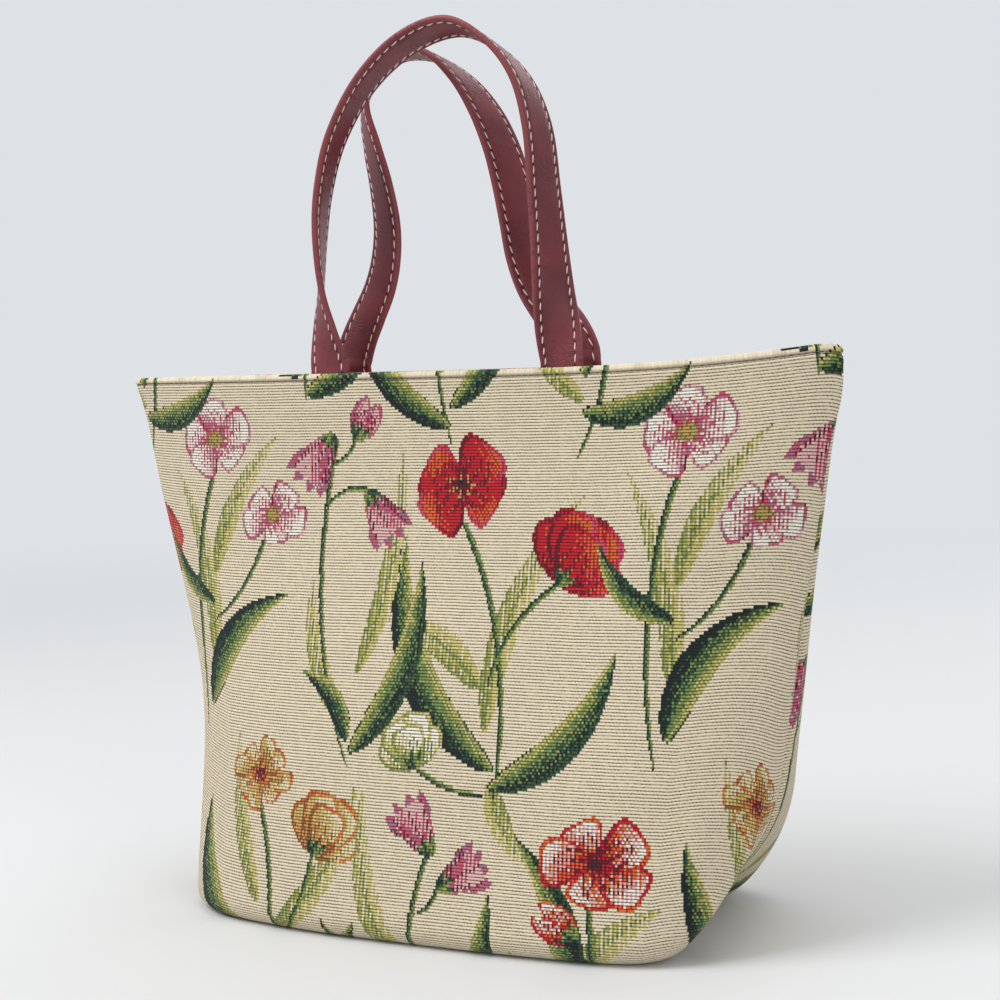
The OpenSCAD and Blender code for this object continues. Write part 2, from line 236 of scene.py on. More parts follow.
class BagForm:
    """The outside of the standing bag, and every layer inside it.

    A column of cloth is named by its share of the half width, from -1 at the left seam to 1 at the right.
    """

    def __init__(self, bag):
        self.bag = bag
        self.corner = math.asin(bag.base_width / bag.foot_width)
        angles = np.linspace(-math.pi / 2, math.pi / 2, ANGLE_STEPS)
        shares = np.linspace(-1, 1, ANGLE_STEPS)
        table = []
        for z in np.linspace(0, bag.height, HEIGHT_STEPS):
            x, y = self.outline(0, z, angles)
            run = np.concatenate(([0], np.cumsum(np.hypot(np.diff(x), np.diff(y)))))
            table.append(np.interp(shares, 2 * run / run[-1] - 1, angles))
        self.angle_table = np.array(table)
        self.width = run[-1]
        self.corner_share = np.interp(self.corner, table[0], shares)
        wall, turn, sweep = self.path(FRONT, 0, bag.height, np.zeros(1))
        self.wall_length = float((wall + turn * sweep)[0])
        self.base_length = float(-self.down_wall(FRONT, 0, bag.height, np.zeros(1), np.ones(1))[1][0])

    def half_width(self, inset, z):
        return mix(self.bag.foot_width, self.bag.rim_width, z / self.bag.height) / 2 - inset

    def half_depth(self, inset, z):
        return mix(self.bag.foot_depth, self.bag.rim_depth, z / self.bag.height) / 2 - inset

    def depth_share(self, across, z):
        blunt = mix(FOOT_BLUNT, RIM_BLUNT, z / self.bag.height)
        return np.maximum(0, 1 - np.abs(across) ** OUTLINE_SQUARE) ** (1 / blunt)

    def outline(self, inset, z, angle):
        """Place on the outline seen from above, on the front half."""
        across = np.sin(angle)
        return self.half_width(inset, z) * across, -self.half_depth(inset, z) * self.depth_share(across, z)

    def outward(self, angle):
        """Outward direction of the outline at the floor."""
        across = np.abs(np.sin(angle))
        x = OUTLINE_SQUARE * across ** (OUTLINE_SQUARE - 1) / self.bag.foot_width
        rest = np.maximum(0, 1 - across ** OUTLINE_SQUARE)
        y = FOOT_BLUNT * rest ** (1 - 1 / FOOT_BLUNT) / self.bag.foot_depth
        long = np.hypot(x, y)
        return np.sign(angle) * x / long, -y / long

    def angle(self, share, z):
        """Column angle that lies at a share of the outline's own length at a height."""
        level = np.clip(z / self.bag.height, 0, 1) * (HEIGHT_STEPS - 1)
        low = np.minimum(level.astype(int), HEIGHT_STEPS - 2)
        place = (np.clip(share, -1, 1) + 1) / 2 * (ANGLE_STEPS - 1)
        left = np.minimum(place.astype(int), ANGLE_STEPS - 2)
        table = self.angle_table
        lower = mix(table[low, left], table[low, left + 1], place - left)
        upper = mix(table[low + 1, left], table[low + 1, left + 1], place - left)
        return mix(lower, upper, level - low)

    def path(self, side, inset, top, angle):
        """Length of the wall down a column, the radius of the turn below it and the turn's sweep."""
        bag = self.bag
        on_left = angle < 0
        side_turn = np.where(on_left, bag.left_turn, bag.right_turn)
        across = np.abs(np.sin(angle))
        reach = across ** np.where(on_left, LEFT_TURN_POWER, TURN_POWERS[side])
        radius = mix(bag.front_turn, side_turn, reach) - inset
        start = math.sin(self.corner)
        rise = bag.box_rise * np.maximum(0, (across - start) / (1 - start)) ** 2
        x0, y0 = self.outline(inset, top, angle)
        x1, y1 = self.outline(inset, inset + radius, angle)
        wall = np.sqrt((x1 - x0) ** 2 + (y1 - y0) ** 2 + (top - inset - radius) ** 2)
        return wall, radius, np.arcsin(1 - rise / radius)

    def down_wall(self, side, inset, top, angle, share):
        """Place at a share of the way down the wall and round the turn."""
        wall, radius, sweep = self.path(side, inset, top, angle)
        run = share * (wall + radius * sweep)
        turn = np.clip((run - wall) / radius, 0, sweep)
        wall_z = top - (top - inset - radius) * np.minimum(run / wall, 1)
        z = np.where(run < wall, wall_z, inset + radius - radius * np.sin(turn))
        x, y = self.outline(inset, z, angle)
        out_x, out_y = self.outward(angle)
        pull = radius - radius * np.cos(turn)
        return x - out_x * pull, y - out_y * pull, z

    def under(self, side, inset, top, share, inward):
        """Place on the bottom, from its front edge at 0 to the bottom seam at 1."""
        ones = np.ones_like(share)
        ground = np.zeros_like(share)
        angle = self.angle(share, ground)
        start = self.down_wall(side, inset, top, angle, ones)
        seam_share = mix(self.corner_share, 1, inward)
        left, left_seam, right, right_seam = (
            self.down_wall(side, inset, top, self.angle(place, ground), ones)
            for place in (-self.corner_share * ones, -seam_share, self.corner_share * ones, seam_share))
        edge_across = (start[0] - left[0]) / (right[0] - left[0])
        seam_across = (1 + np.sin(angle) / math.sin(self.corner)) / 2
        across = mix(edge_across, seam_across, inward)
        curl = np.maximum(0, (np.abs(2 * across - 1) - FLAT_SHARE) / (1 - FLAT_SHARE))
        x = mix(left_seam[0], right_seam[0], across)
        y = start[1] * mix(left_seam[1] / left[1], right_seam[1] / right[1], across)
        z = inset + (mix(left_seam[2], right_seam[2], across) - inset) * curl ** 2
        return x, y, z

    def sway(self, z):
        return self.bag.wall_sway * np.sin(math.pi * (z / self.bag.height) ** 2)

    def settle(self, side, x, y, z):
        """Bows, sway and seam pull, and the lift and drop of the rim's corners, the same for every layer."""
        bag = self.bag
        up = z / bag.height
        share = np.clip(x / self.half_width(0, z), -1, 1)
        x = x + np.where(share < 0, -bow(LEFT_BOWS, up), bow(RIGHT_BOWS, up)) * share ** 2
        lift = bag.corner_lift * np.maximum(0, 2 * x / bag.rim_width) ** LIFT_POWER * up ** LIFT_POWER
        drop = np.where(share < 0, LEFT_DROP, RIGHT_DROP) * np.abs(share) ** CORNER_POWER
        drop = drop * np.clip(up, 0, 1) ** DROP_POWER
        pull = SEAM_PULL * np.maximum(share, 0) ** PULL_POWER * bell_curve(up - PULL_HEIGHT, PULL_SPREAD)
        x = x + bag.foot_shift * (1 - up)
        y = -side * y + self.sway(z) - pull
        return np.stack((x, y, z + lift - drop), axis=1)

    def boxed(self, side, inset, top, share, down):
        """Place of cloth on the wall, with down from 0 to 1, and on the bottom, with down from 1 to 2."""
        guess = top * (1 - np.clip(down, 0, 1))
        wall = self.down_wall(side, inset, top, self.angle(share, guess), np.clip(down, 0, 1))
        below = self.under(side, inset, top, np.clip(share, -self.corner_share, self.corner_share),
                           np.clip(down - 1, 0, 1))
        on_wall = down <= 1
        x, y, z = (np.where(on_wall, a, b) for a, b in zip(wall, below))
        return self.settle(side, x, y, z)

    def rolled(self, side, outer, inner, top, share, past):
        """Place of cloth that rolls over the rim between two insets, a length past the roll's start."""
        radius = abs(inner - outer) / 2
        bend = np.minimum(past / radius, math.pi)
        inset = mix(outer, inner, (1 - np.cos(bend)) / 2)
        z = top + radius * np.sin(bend) - np.maximum(past - math.pi * radius, 0)
        x, y = self.outline(inset, z, self.angle(share, np.minimum(z, self.bag.height)))
        return self.settle(side, x, y, z)


# Sheets of cloth

HEM = 0.006
ROLL_ROWS = 8
HEM_ROWS = 3
FINE_RIBS = 5
ROWS_PER_FINE_RIB = 5
BASE_ROW = 0.0022
SEAM_DEPTH = 0.0034
SEAM_WIDTH = 0.0028
SEAM_FADE = 0.060
BASE_SEAM_DEPTH = 0.0012
GROOVE_DEPTH = 0.0010
GROOVE_WIDTH = 0.00055
GROOVE_SHADE = 0.6
FOLD_SWELL = 0.0006
FOLD_RIB = -0.4
FOLD_FLAT = 0.7
FOLD_END = 1.35
FOLD_MIDDLE = 0.4
DENT_FADE = 0.040
CELL_EASE = 1e-3


def numbers(items, name, kind, per_item):
    found = np.zeros(len(items) * per_item, kind)
    items.foreach_get(name, found)
    return found.reshape(-1, per_item)


def flat_sheet(name, columns, downs, keeps=None):
    """A flat sheet with its columns across X and its rows down -Y, less the faces that it doesn't keep."""
    bm = bmesh.new()
    bmesh.ops.create_grid(bm, x_segments=len(columns) - 1, y_segments=len(downs) - 1, size=0.5)
    for vert in bm.verts:
        column = round((vert.co.x + 0.5) * (len(columns) - 1))
        row = round((0.5 - vert.co.y) * (len(downs) - 1))
        vert.co = (columns[column], -downs[row], 0)
    if keeps:
        centres = ((face, face.calc_center_median()) for face in bm.faces)
        cut = [face for face, centre in centres if not keeps(centre.x, -centre.y)]
        bmesh.ops.delete(bm, geom=cut, context="FACES")
    mesh = bpy.data.meshes.new(name)
    bm.to_mesh(mesh)
    bm.free()
    return mesh


def flat_points(mesh):
    """How far across and how far down each point of a flat sheet lies."""
    flat = numbers(mesh.vertices, "co", np.float32, 3).astype(float)
    return flat[:, 0], -flat[:, 1]


def add_map(mesh, name, places):
    """Adds a UV map with one place for each point."""
    corners = numbers(mesh.loops, "vertex_index", np.int32, 1)[:, 0]
    layer = mesh.uv_layers.new(name=name)
    layer.uv.foreach_set("vector", places[corners].astype(np.float32).ravel())


def draw_flat_map(mesh, thread, rib, fold=0.0):
    """Keeps the flat cloth's own threads and ribs as a UV map, one unit to each.

    One rib is stretched over a folded edge, down to the seam at the end of the fold.
    """
    flat = numbers(mesh.vertices, "co", np.float32, 3)
    places = flat[:, :2] / np.array((thread, rib), np.float32)
    if fold:
        folds_down = -flat[:, 1] / fold
        below = smooth((folds_down - FOLD_FLAT) / (FOLD_END - FOLD_FLAT))
        places[:, 1] = mix(FOLD_RIB, places[:, 1], below)
    add_map(mesh, "weave", places)


def dye(mesh, loom, offset, topstitch):
    """Gives each face the colour of the woven cell that it lies on, with painted shade down in the
    topstitched groove.

    The alpha of the colour is 1 on the plain ground and 0 on the motifs.
    """
    centres = numbers(mesh.polygons, "center", np.float32, 3)
    column = np.floor(centres[:, 0] / loom.thread + CELL_EASE).astype(int) + offset[0]
    rib = np.floor(centres[:, 1] / loom.rib + CELL_EASE).astype(int) + offset[1]
    colour = loom.cells[rib % loom.ribs, column % loom.columns]
    # Painted shade: faces along the topstitched groove are darkened as if lying in its shadow.
    shade = GROOVE_SHADE * bell_curve(centres[:, 1] + topstitch, GROOVE_WIDTH)
    plain = np.all(np.isclose(colour, loom.yarns["cream"]), axis=1)
    colour = np.concatenate((colour * (1 - shade[:, None]), plain[:, None]), axis=1)
    sides = numbers(mesh.polygons, "loop_total", np.int32, 1)[:, 0]
    layer = mesh.color_attributes.new("yarn", "FLOAT_COLOR", "CORNER")
    layer.data.foreach_set("color", np.repeat(colour, sides, axis=0).astype(np.float32).ravel())


def lay(mesh, places):
    mesh.vertices.foreach_set("co", places.astype(np.float32).ravel())
    mesh.update()
    mesh.shade_smooth()


def press(mesh, depths):
    """Moves each point inwards along its normal."""
    places = numbers(mesh.vertices, "co", np.float32, 3)
    normals = numbers(mesh.vertex_normals, "vector", np.float32, 3)
    lay(mesh, places - normals * depths[:, None])


def add_piece(name, mesh, material, nodes=()):
    piece = bpy.data.objects.new(name, mesh)
    bpy.context.scene.collection.objects.link(piece)
    mesh.materials.append(material)
    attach(piece, "root")
    if nodes:
        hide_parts(*nodes)
    return piece


def even_steps(start, end, step):
    return np.linspace(start, end, max(1, round((end - start) / step)) + 1)


def joined_steps(*runs):
    return np.concatenate([run[:-1] for run in runs[:-1]] + [runs[-1]])


def rim_press(down, topstitch):
    """How far the cloth by the rim is pressed in: a groove under the topstitching, below a swollen fold."""
    groove = GROOVE_DEPTH * bell_curve(down - topstitch, GROOVE_WIDTH)
    fold = bell_curve(down - FOLD_MIDDLE * topstitch, FOLD_MIDDLE * topstitch)
    below = bell_curve(down - 2 * topstitch, topstitch)
    return groove - FOLD_SWELL * (fold + below / 2)


def hemmed_rows(roll, rib, end):
    """Rows of a cut from its hem over the roll at the rim, then fine ribs and plain ones down to an end."""
    over = math.pi * roll
    fine = FINE_RIBS * rib
    return joined_steps(
        np.linspace(-over - HEM, -over, HEM_ROWS + 1),
        np.linspace(-over, 0, ROLL_ROWS + 1),
        np.linspace(0, fine, FINE_RIBS * ROWS_PER_FINE_RIB + 1),
        even_steps(fine, end, rib))


def thread_pitch(form, cloth):
    """Pitch of the threads, eased so that a whole number of them fills the width."""
    return form.width / round(form.width / cloth.thread)


def thread_columns(form, thread):
    return np.linspace(-form.width / 2, form.width / 2, round(form.width / thread) + 1)


class BoxedCut:
    """A flat cut for a wall and half the bottom, with its two lower corners cut away for the box seams."""

    def __init__(self, form, wall, step):
        self.form = form
        self.wall = wall
        self.step = step
        self.base = form.base_length
        self.corner = form.corner_share * form.width / 2

    def keeps(self, across, down):
        """Whether the cut has cloth there."""
        return down < self.wall or abs(across) < self.corner

    def snap(self, across):
        """Moves the column nearest to each lower corner onto it."""
        near = np.abs(np.abs(across) - self.corner) < self.step / 2
        return np.where(near, np.sign(across) * self.corner, across)

    def way_down(self, down):
        """Share of the way down the wall, from 0 to 1, and on under the bottom, from 1 to 2."""
        return np.where(down < self.wall, down / self.wall, 1 + (down - self.wall) / self.base)


class PanelCloth(BoxedCut):
    """One tapestry panel: its flat cut and the way that it is sewn."""

    def __init__(self, form, cloth):
        self.cloth = cloth
        self.roll = cloth.panel_thickness / 2
        self.top = form.bag.height - self.roll
        self.thread = thread_pitch(form, cloth)
        super().__init__(form, form.wall_length - self.roll, self.thread)
        self.rib = self.wall / round(self.wall / cloth.rib)
        self.columns = thread_columns(form, self.thread)
        self.downs = joined_steps(hemmed_rows(self.roll, self.rib, self.wall),
                                  even_steps(self.wall, self.wall + self.base, BASE_ROW))

    def flat_size(self):
        return self.form.width, self.wall + self.base + math.pi * self.roll + HEM

    def flat_area(self):
        width, length = self.flat_size()
        return width * length - (width - 2 * self.corner) * self.base

    def place(self, side, across, down):
        """Places of flat points on the standing bag."""
        share = -side * 2 * across / self.form.width
        sewn = self.form.boxed(side, 0, self.top, share, np.maximum(self.way_down(down), 0))
        rolled = self.form.rolled(side, 0, 2 * self.roll, self.top, share, np.maximum(-down, 0))
        places = np.where((down < 0)[:, None], rolled, sewn)
        beside = np.abs(across)
        under = down > self.wall
        side_seam = bell_curve(self.form.width / 2 - beside, SEAM_WIDTH) * smooth(down / SEAM_FADE)
        places[:, 0] -= np.sign(share) * (SEAM_DEPTH * side_seam * (down < self.wall))
        base_seam = bell_curve(self.wall + self.base - down, SEAM_WIDTH) * under
        box_edge = bell_curve(self.corner - beside, SEAM_WIDTH) * under
        box_end = bell_curve(self.wall - down, SEAM_WIDTH) * (beside > self.corner) * ~under
        places[:, 2] += BASE_SEAM_DEPTH * np.maximum(np.maximum(base_seam, box_edge), box_end)
        return places

    def depths(self, across, down):
        """How far the cloth is pressed in by the topstitching and by its soft dents."""
        depth = np.zeros_like(down)
        for place, below, wide, long, lean, deep in PANEL_DENTS:
            off_x = across - place * self.form.width / 2
            off_y = down - below
            turned_x = off_x * math.cos(lean) + off_y * math.sin(lean)
            turned_y = off_y * math.cos(lean) - off_x * math.sin(lean)
            depth = depth + deep * bell_curve(turned_x, wide) * bell_curve(turned_y, long)
        held = smooth(down / DENT_FADE) * (down < self.wall)
        return rim_press(down, self.cloth.topstitch) + depth * held


def weave_panel(form, cloth, loom, side, material, offset):
    panel = PanelCloth(form, cloth)
    name = SIDE_NAMES[side]
    mesh = flat_sheet(f"tapestry_{name}", panel.columns, panel.downs, panel.keeps)
    draw_flat_map(mesh, panel.thread, panel.rib, cloth.topstitch)
    dye(mesh, loom, offset, cloth.topstitch)
    across, down = flat_points(mesh)
    across = panel.snap(across)
    lay(mesh, panel.place(side, across, down))
    press(mesh, panel.depths(across, down))
    piece = add_piece(f"tapestry_{name}", mesh, material, [f"{name}_panel"])


STRAP_SHOULDER = 0.009
STRAP_FLAT = 0.006
TUCK_SHARE = 0.6


def strap_push(cloth, handles, x, depth):
    """How far the facing is pushed in by a strap end, from 0 to 1."""
    beside = np.abs(np.abs(x + handles.shift) - handles.spacing / 2) - handles.width / 2 - STRAP_FLAT
    below = (depth - handles.tail - cloth.gap) / (cloth.facing_height - handles.tail - cloth.gap)
    return (1 - smooth(beside / STRAP_SHOULDER)) * (1 - smooth(below))


def place_facing(form, cloth, handles, side, across, down):
    """Places of the facing: its inner face below the rim, then the roll over the rim and a hem behind it."""
    inner = cloth.panel_thickness + cloth.gap + cloth.facing_thickness
    outer = inner - cloth.facing_thickness
    roll = cloth.facing_thickness / 2
    top = form.bag.height - roll
    share = side * 2 * across / form.width
    past = np.maximum(-down, 0)
    bend = np.minimum(past / roll, math.pi)
    tuck = smooth((down - cloth.facing_height + HEM / 2) / (HEM / 2)) * cloth.facing_thickness * TUCK_SHARE
    inset = mix(inner, outer, (1 - np.cos(bend)) / 2) - tuck
    z = top + roll * np.sin(bend) - np.maximum(past - math.pi * roll, 0) - np.maximum(down, 0)
    x, y = form.outline(inset, z, form.angle(share, z))
    room = handles.thickness + cloth.gap + handles.ease
    y = np.minimum(y + strap_push(cloth, handles, x, form.bag.height - z) * room, 0)
    return form.settle(side, x, y, z)


def weave_facing(form, cloth, handles, loom, side, material, offset):
    name = SIDE_NAMES[side]
    roll = cloth.facing_thickness / 2
    thread = thread_pitch(form, cloth)
    downs = hemmed_rows(roll, cloth.rib, cloth.facing_height)
    mesh = flat_sheet(f"facing_{name}", thread_columns(form, thread), downs)
    draw_flat_map(mesh, thread, cloth.rib, cloth.topstitch)
    dye(mesh, loom, offset, cloth.topstitch)
    across, down = flat_points(mesh)
    lay(mesh, place_facing(form, cloth, handles, side, across, down))
    press(mesh, rim_press(down, cloth.topstitch))
    piece = add_piece(f"facing_{name}", mesh, material, [f"{name}_facing"])


LINING_STEP = 0.0026
LINING_TUCK = 0.004
LINING_FOLDS = 9
LINING_SAG = 0.0028
LINING_TOP_FADE = 0.05
LINING_FOOT_FADE = 0.06
LINING_SEAM_FADE = 0.15
LINING_WANDER = 2.2
WANDER_ACROSS = 3
WANDER_DOWN = 18


def sew_lining(form, cloth, side, material):
    name = SIDE_NAMES[side]
    inset = cloth.panel_thickness + cloth.gap + cloth.lining_thickness
    top = form.bag.height - cloth.facing_height + LINING_TUCK
    wall, turn, sweep = form.path(side, inset, top, np.zeros(1))
    cut = BoxedCut(form, float((wall + turn * sweep)[0]), LINING_STEP)
    length = cut.wall + cut.base
    columns = even_steps(-form.width / 2, form.width / 2, LINING_STEP)
    downs = joined_steps(even_steps(0, cut.wall, LINING_STEP), even_steps(cut.wall, length, LINING_STEP))
    mesh = flat_sheet(f"lining_{name}", columns, downs, cut.keeps)
    draw_flat_map(mesh, cloth.thread, cloth.thread)
    across, down = flat_points(mesh)
    share = side * 2 * cut.snap(across) / form.width
    lay(mesh, form.boxed(side, inset, top, share, cut.way_down(down)))
    held = smooth(down / LINING_TOP_FADE) * smooth((cut.wall - down) / LINING_FOOT_FADE)
    held = held * smooth((1 - np.abs(share)) / LINING_SEAM_FADE)
    wander = LINING_WANDER * np.sin(WANDER_ACROSS * share + WANDER_DOWN * down)
    fold = 0.5 + 0.5 * np.sin(LINING_FOLDS * math.pi * share + wander)
    press(mesh, -LINING_SAG * held * fold)
    piece = add_piece(f"lining_{name}", mesh, material, [f"{name}_lining"])


# Strap handles

CURVE_STEPS = 24
RING_STEP = 0.0018
FACE_POINTS = 26
EDGE_POINTS = 7
STRAP_CROWN = 0.00022
STRAP_GROOVE = 0.00045
STRAP_GROOVE_WIDTH = 0.0010
WELD_DISTANCE = 1e-6


def strap_seat(form, cloth, handles, side, z):
    """Place across the bag of a strap end that lies against the inside of its panel."""
    edge = (handles.spacing + handles.width) / 2 + handles.shift
    inset = cloth.panel_thickness
    inner = form.half_depth(inset, z) * form.depth_share(edge / form.half_width(inset, z), z)
    return side * (inner - cloth.gap - handles.thickness / 2) + form.sway(z)


def route_curve(points):
    """Smooth curve through a list of points, with the tangent at each point set by its neighbours."""
    points = np.array(points, float)
    last = len(points) - 1
    found = []
    for k in range(last):
        p0, p1, p2, p3 = points[max(k - 1, 0)], points[k], points[k + 1], points[min(k + 2, last)]
        for step in range(CURVE_STEPS):
            t = step / CURVE_STEPS
            found.append(0.5 * (2 * p1 + (p2 - p0) * t + (2 * p0 - 5 * p1 + 4 * p2 - p3) * t ** 2
                                + (3 * p1 - p0 - 3 * p2 + p3) * t ** 3))
    return np.array(found + [points[last]])


class StrapPath:
    """The line that a handle follows, with the directions across it and out of its face."""

    def __init__(self, form, cloth, handles, side, route, rise):
        half = handles.spacing / 2
        height = form.bag.height
        seat = strap_seat(form, cloth, handles, side, height)
        low_z = height - handles.tail
        low = strap_seat(form, cloth, handles, side, low_z)
        points = [[route[0][0] * half - handles.shift, low, low_z, *route[0][2:]]]
        for across, up, twist, tilt in route:
            y = mix(seat, side * handles.stand, smooth(up / LEAN_SHARE))
            points.append([across * half - handles.shift, y, height + up * rise, twist, tilt])
        points.append([route[-1][0] * half - handles.shift, low, low_z, *route[-1][2:]])
        curve = route_curve(points)
        run = np.concatenate(([0], np.cumsum(np.linalg.norm(np.diff(curve[:, :3], axis=0), axis=1))))
        self.length = run[-1]
        self.run = even_steps(0, self.length, RING_STEP)
        even = np.stack([np.interp(self.run, run, curve[:, k]) for k in range(5)], axis=1)
        self.centre = even[:, :3]
        twist, tilt = np.radians(even[:, 3]), np.radians(even[:, 4])
        wide = np.stack((np.cos(twist) * np.cos(tilt), np.sin(twist) * np.cos(tilt), np.sin(tilt)), axis=1)
        ahead = np.gradient(self.centre, axis=0)
        self.ahead = ahead / np.linalg.norm(ahead, axis=1)[:, None]
        across = wide - self.ahead * np.sum(wide * self.ahead, axis=1)[:, None]
        self.across = across / np.linalg.norm(across, axis=1)[:, None]
        self.outer = np.cross(self.across, self.ahead)

    def at(self, run, values):
        return np.array([np.interp(run, self.run, values[:, k]) for k in range(3)])


def face_height(handles, x):
    """Height of a strap's face above its middle: a soft crown with a groove under each stitch row."""
    row = handles.width / 2 - handles.stitch_inset
    groove = STRAP_GROOVE * bell_curve(np.abs(x) - row, STRAP_GROOVE_WIDTH)
    crown = STRAP_CROWN * (1 - (2 * x / handles.width) ** 2)
    return handles.thickness / 2 - STRAP_CROWN / 2 + crown - groove


def strap_section(handles):
    """Closed outline of a strap across its width, with rolled edges."""
    edge = handles.thickness / 2
    flat = handles.width / 2 - edge
    x = np.linspace(-flat, flat, FACE_POINTS)
    face = np.stack((x, face_height(handles, x)), axis=1)
    bend = np.linspace(math.pi / 2, -math.pi / 2, EDGE_POINTS + 2)[1:-1]
    height = face_height(handles, flat)
    right = np.stack((flat + edge * np.cos(bend), height * np.sin(bend)), axis=1)
    return np.concatenate((face, right, -face, -right, face[:1]))


def cut_strap(name, path, handles, material, node):
    """A flat strip rolled up into the strap's closed section and bent along its route."""
    section = strap_section(handles)
    around = np.concatenate(([0], np.cumsum(np.linalg.norm(np.diff(section, axis=0), axis=1))))
    mesh = flat_sheet(name, around, path.run)
    rolled, run = flat_points(mesh)
    x = np.interp(rolled, around, section[:, 0])
    y = np.interp(rolled, around, section[:, 1])
    add_map(mesh, "strap", np.stack((x, run), axis=1))
    lay(mesh, (path.at(run, path.centre) + path.at(run, path.across) * x + path.at(run, path.outer) * y).T)
    bm = bmesh.new()
    bm.from_mesh(mesh)
    bmesh.ops.remove_doubles(bm, verts=bm.verts, dist=WELD_DISTANCE)
    bmesh.ops.holes_fill(bm, edges=[edge for edge in bm.edges if edge.is_boundary])
    bmesh.ops.recalc_face_normals(bm, faces=bm.faces)
    bm.to_mesh(mesh)
    bm.free()
    mesh.shade_smooth()
    add_piece(name, mesh, material, [node])


STITCH_SIDES = 6
STITCH_RINGS = 5
STITCH_SLANT = math.radians(10)
STITCH_SINK = 0.00006
STITCH_LIFT = 0.25
STITCH_HEIGHT = 0.45


def add_stitch(bm, place, ahead, across, out, length, thickness):
    """One stitch of thread, a long bead whose ends go down into the cloth."""
    turned = ahead * math.cos(STITCH_SLANT) + across * math.sin(STITCH_SLANT)
    beside = np.cross(turned, out)
    axes = np.stack((out * thickness * STITCH_HEIGHT, beside * thickness / 2, turned * length / 2), axis=1)
    if np.linalg.det(axes) < 0:
        axes[:, 1] *= -1
    matrix = Matrix.LocRotScale(Vector(place), None, None) @ Matrix(axes.tolist()).to_4x4()
    bmesh.ops.create_uvsphere(
        bm, u_segments=STITCH_SIDES, v_segments=STITCH_RINGS, radius=1, matrix=matrix)


def finish_stitches(name, bm, material):
    mesh = bpy.data.meshes.new(name)
    bm.to_mesh(mesh)
    bm.free()
    mesh.shade_smooth()
    add_piece(name, mesh, material)


def stitch_strap(name, path, handles, material):
    """Two rows of stitches on each face of a strap."""
    bm = bmesh.new()
    row = handles.width / 2 - handles.stitch_inset
    height = float(face_height(handles, row)) + handles.thread * STITCH_LIFT - STITCH_SINK
    start = handles.tail - handles.stitch_pitch / 2
    count = int((path.length - 2 * start) / handles.stitch_pitch)
    for k in range(count + 1):
        run = start + k * handles.stitch_pitch
        centre = path.at(run, path.centre)
        ahead = path.at(run, path.ahead)
        across = path.at(run, path.across)
        outer = path.at(run, path.outer)
        for x in (-row, row):
            for face in (-1, 1):
                place = centre + across * x + outer * height * face
                add_stitch(bm, place, ahead, across, outer, handles.stitch_length, handles.thread)
    finish_stitches(name, bm, material)


RIM_STITCH_PITCH = 0.0034
RIM_STITCH_LENGTH = 0.0027
RIM_THREAD = 0.0006
RIM_STITCH_LIFT = 0.1
RIM_MARGIN = 0.004


def stitch_rim(name, place, width, down, material):
    """A row of stitches along the rim, laid on the surface that place gives."""
    bm = bmesh.new()
    step = RIM_STITCH_LENGTH / 2
    across = even_steps(-width / 2 + RIM_MARGIN, width / 2 - RIM_MARGIN, RIM_STITCH_PITCH)
    level = np.full_like(across, down)
    middle = place(across, level)
    ahead = place(across + step, level) - place(across - step, level)
    below = place(across, level + step) - place(across, level - step)
    ahead /= np.linalg.norm(ahead, axis=1)[:, None]
    out = np.cross(below, ahead)
    out /= np.linalg.norm(out, axis=1)[:, None]
    for k in range(len(across)):
        spot = middle[k] - out[k] * (GROOVE_DEPTH - RIM_THREAD * RIM_STITCH_LIFT)
        add_stitch(bm, spot, ahead[k], np.cross(out[k], ahead[k]), out[k], RIM_STITCH_LENGTH, RIM_THREAD)
    finish_stitches(name, bm, material)


# Woven design

REPEAT_WIDTH = 0.264
REPEAT_HEIGHT = 0.300
LOOM_SEED = 7
SMALLEST = 1e-6
HATCH_LINES = (0.05, 0.7, 0.35, 0.95)
HATCH_SHARE = 0.7
CHANCE_SHARE = 0.3
GREENS = ["black_green", "deep_green", "leaf_green", "olive"]
CUP_LENGTH = 0.0095
CUP_WIDTH = 0.0045
EYE_RAYS = 7


def heading(angle, squeeze=1.0):
    """Direction at an angle in radians, made flatter by the squeeze."""
    return np.array((math.cos(angle), math.sin(angle) * squeeze))


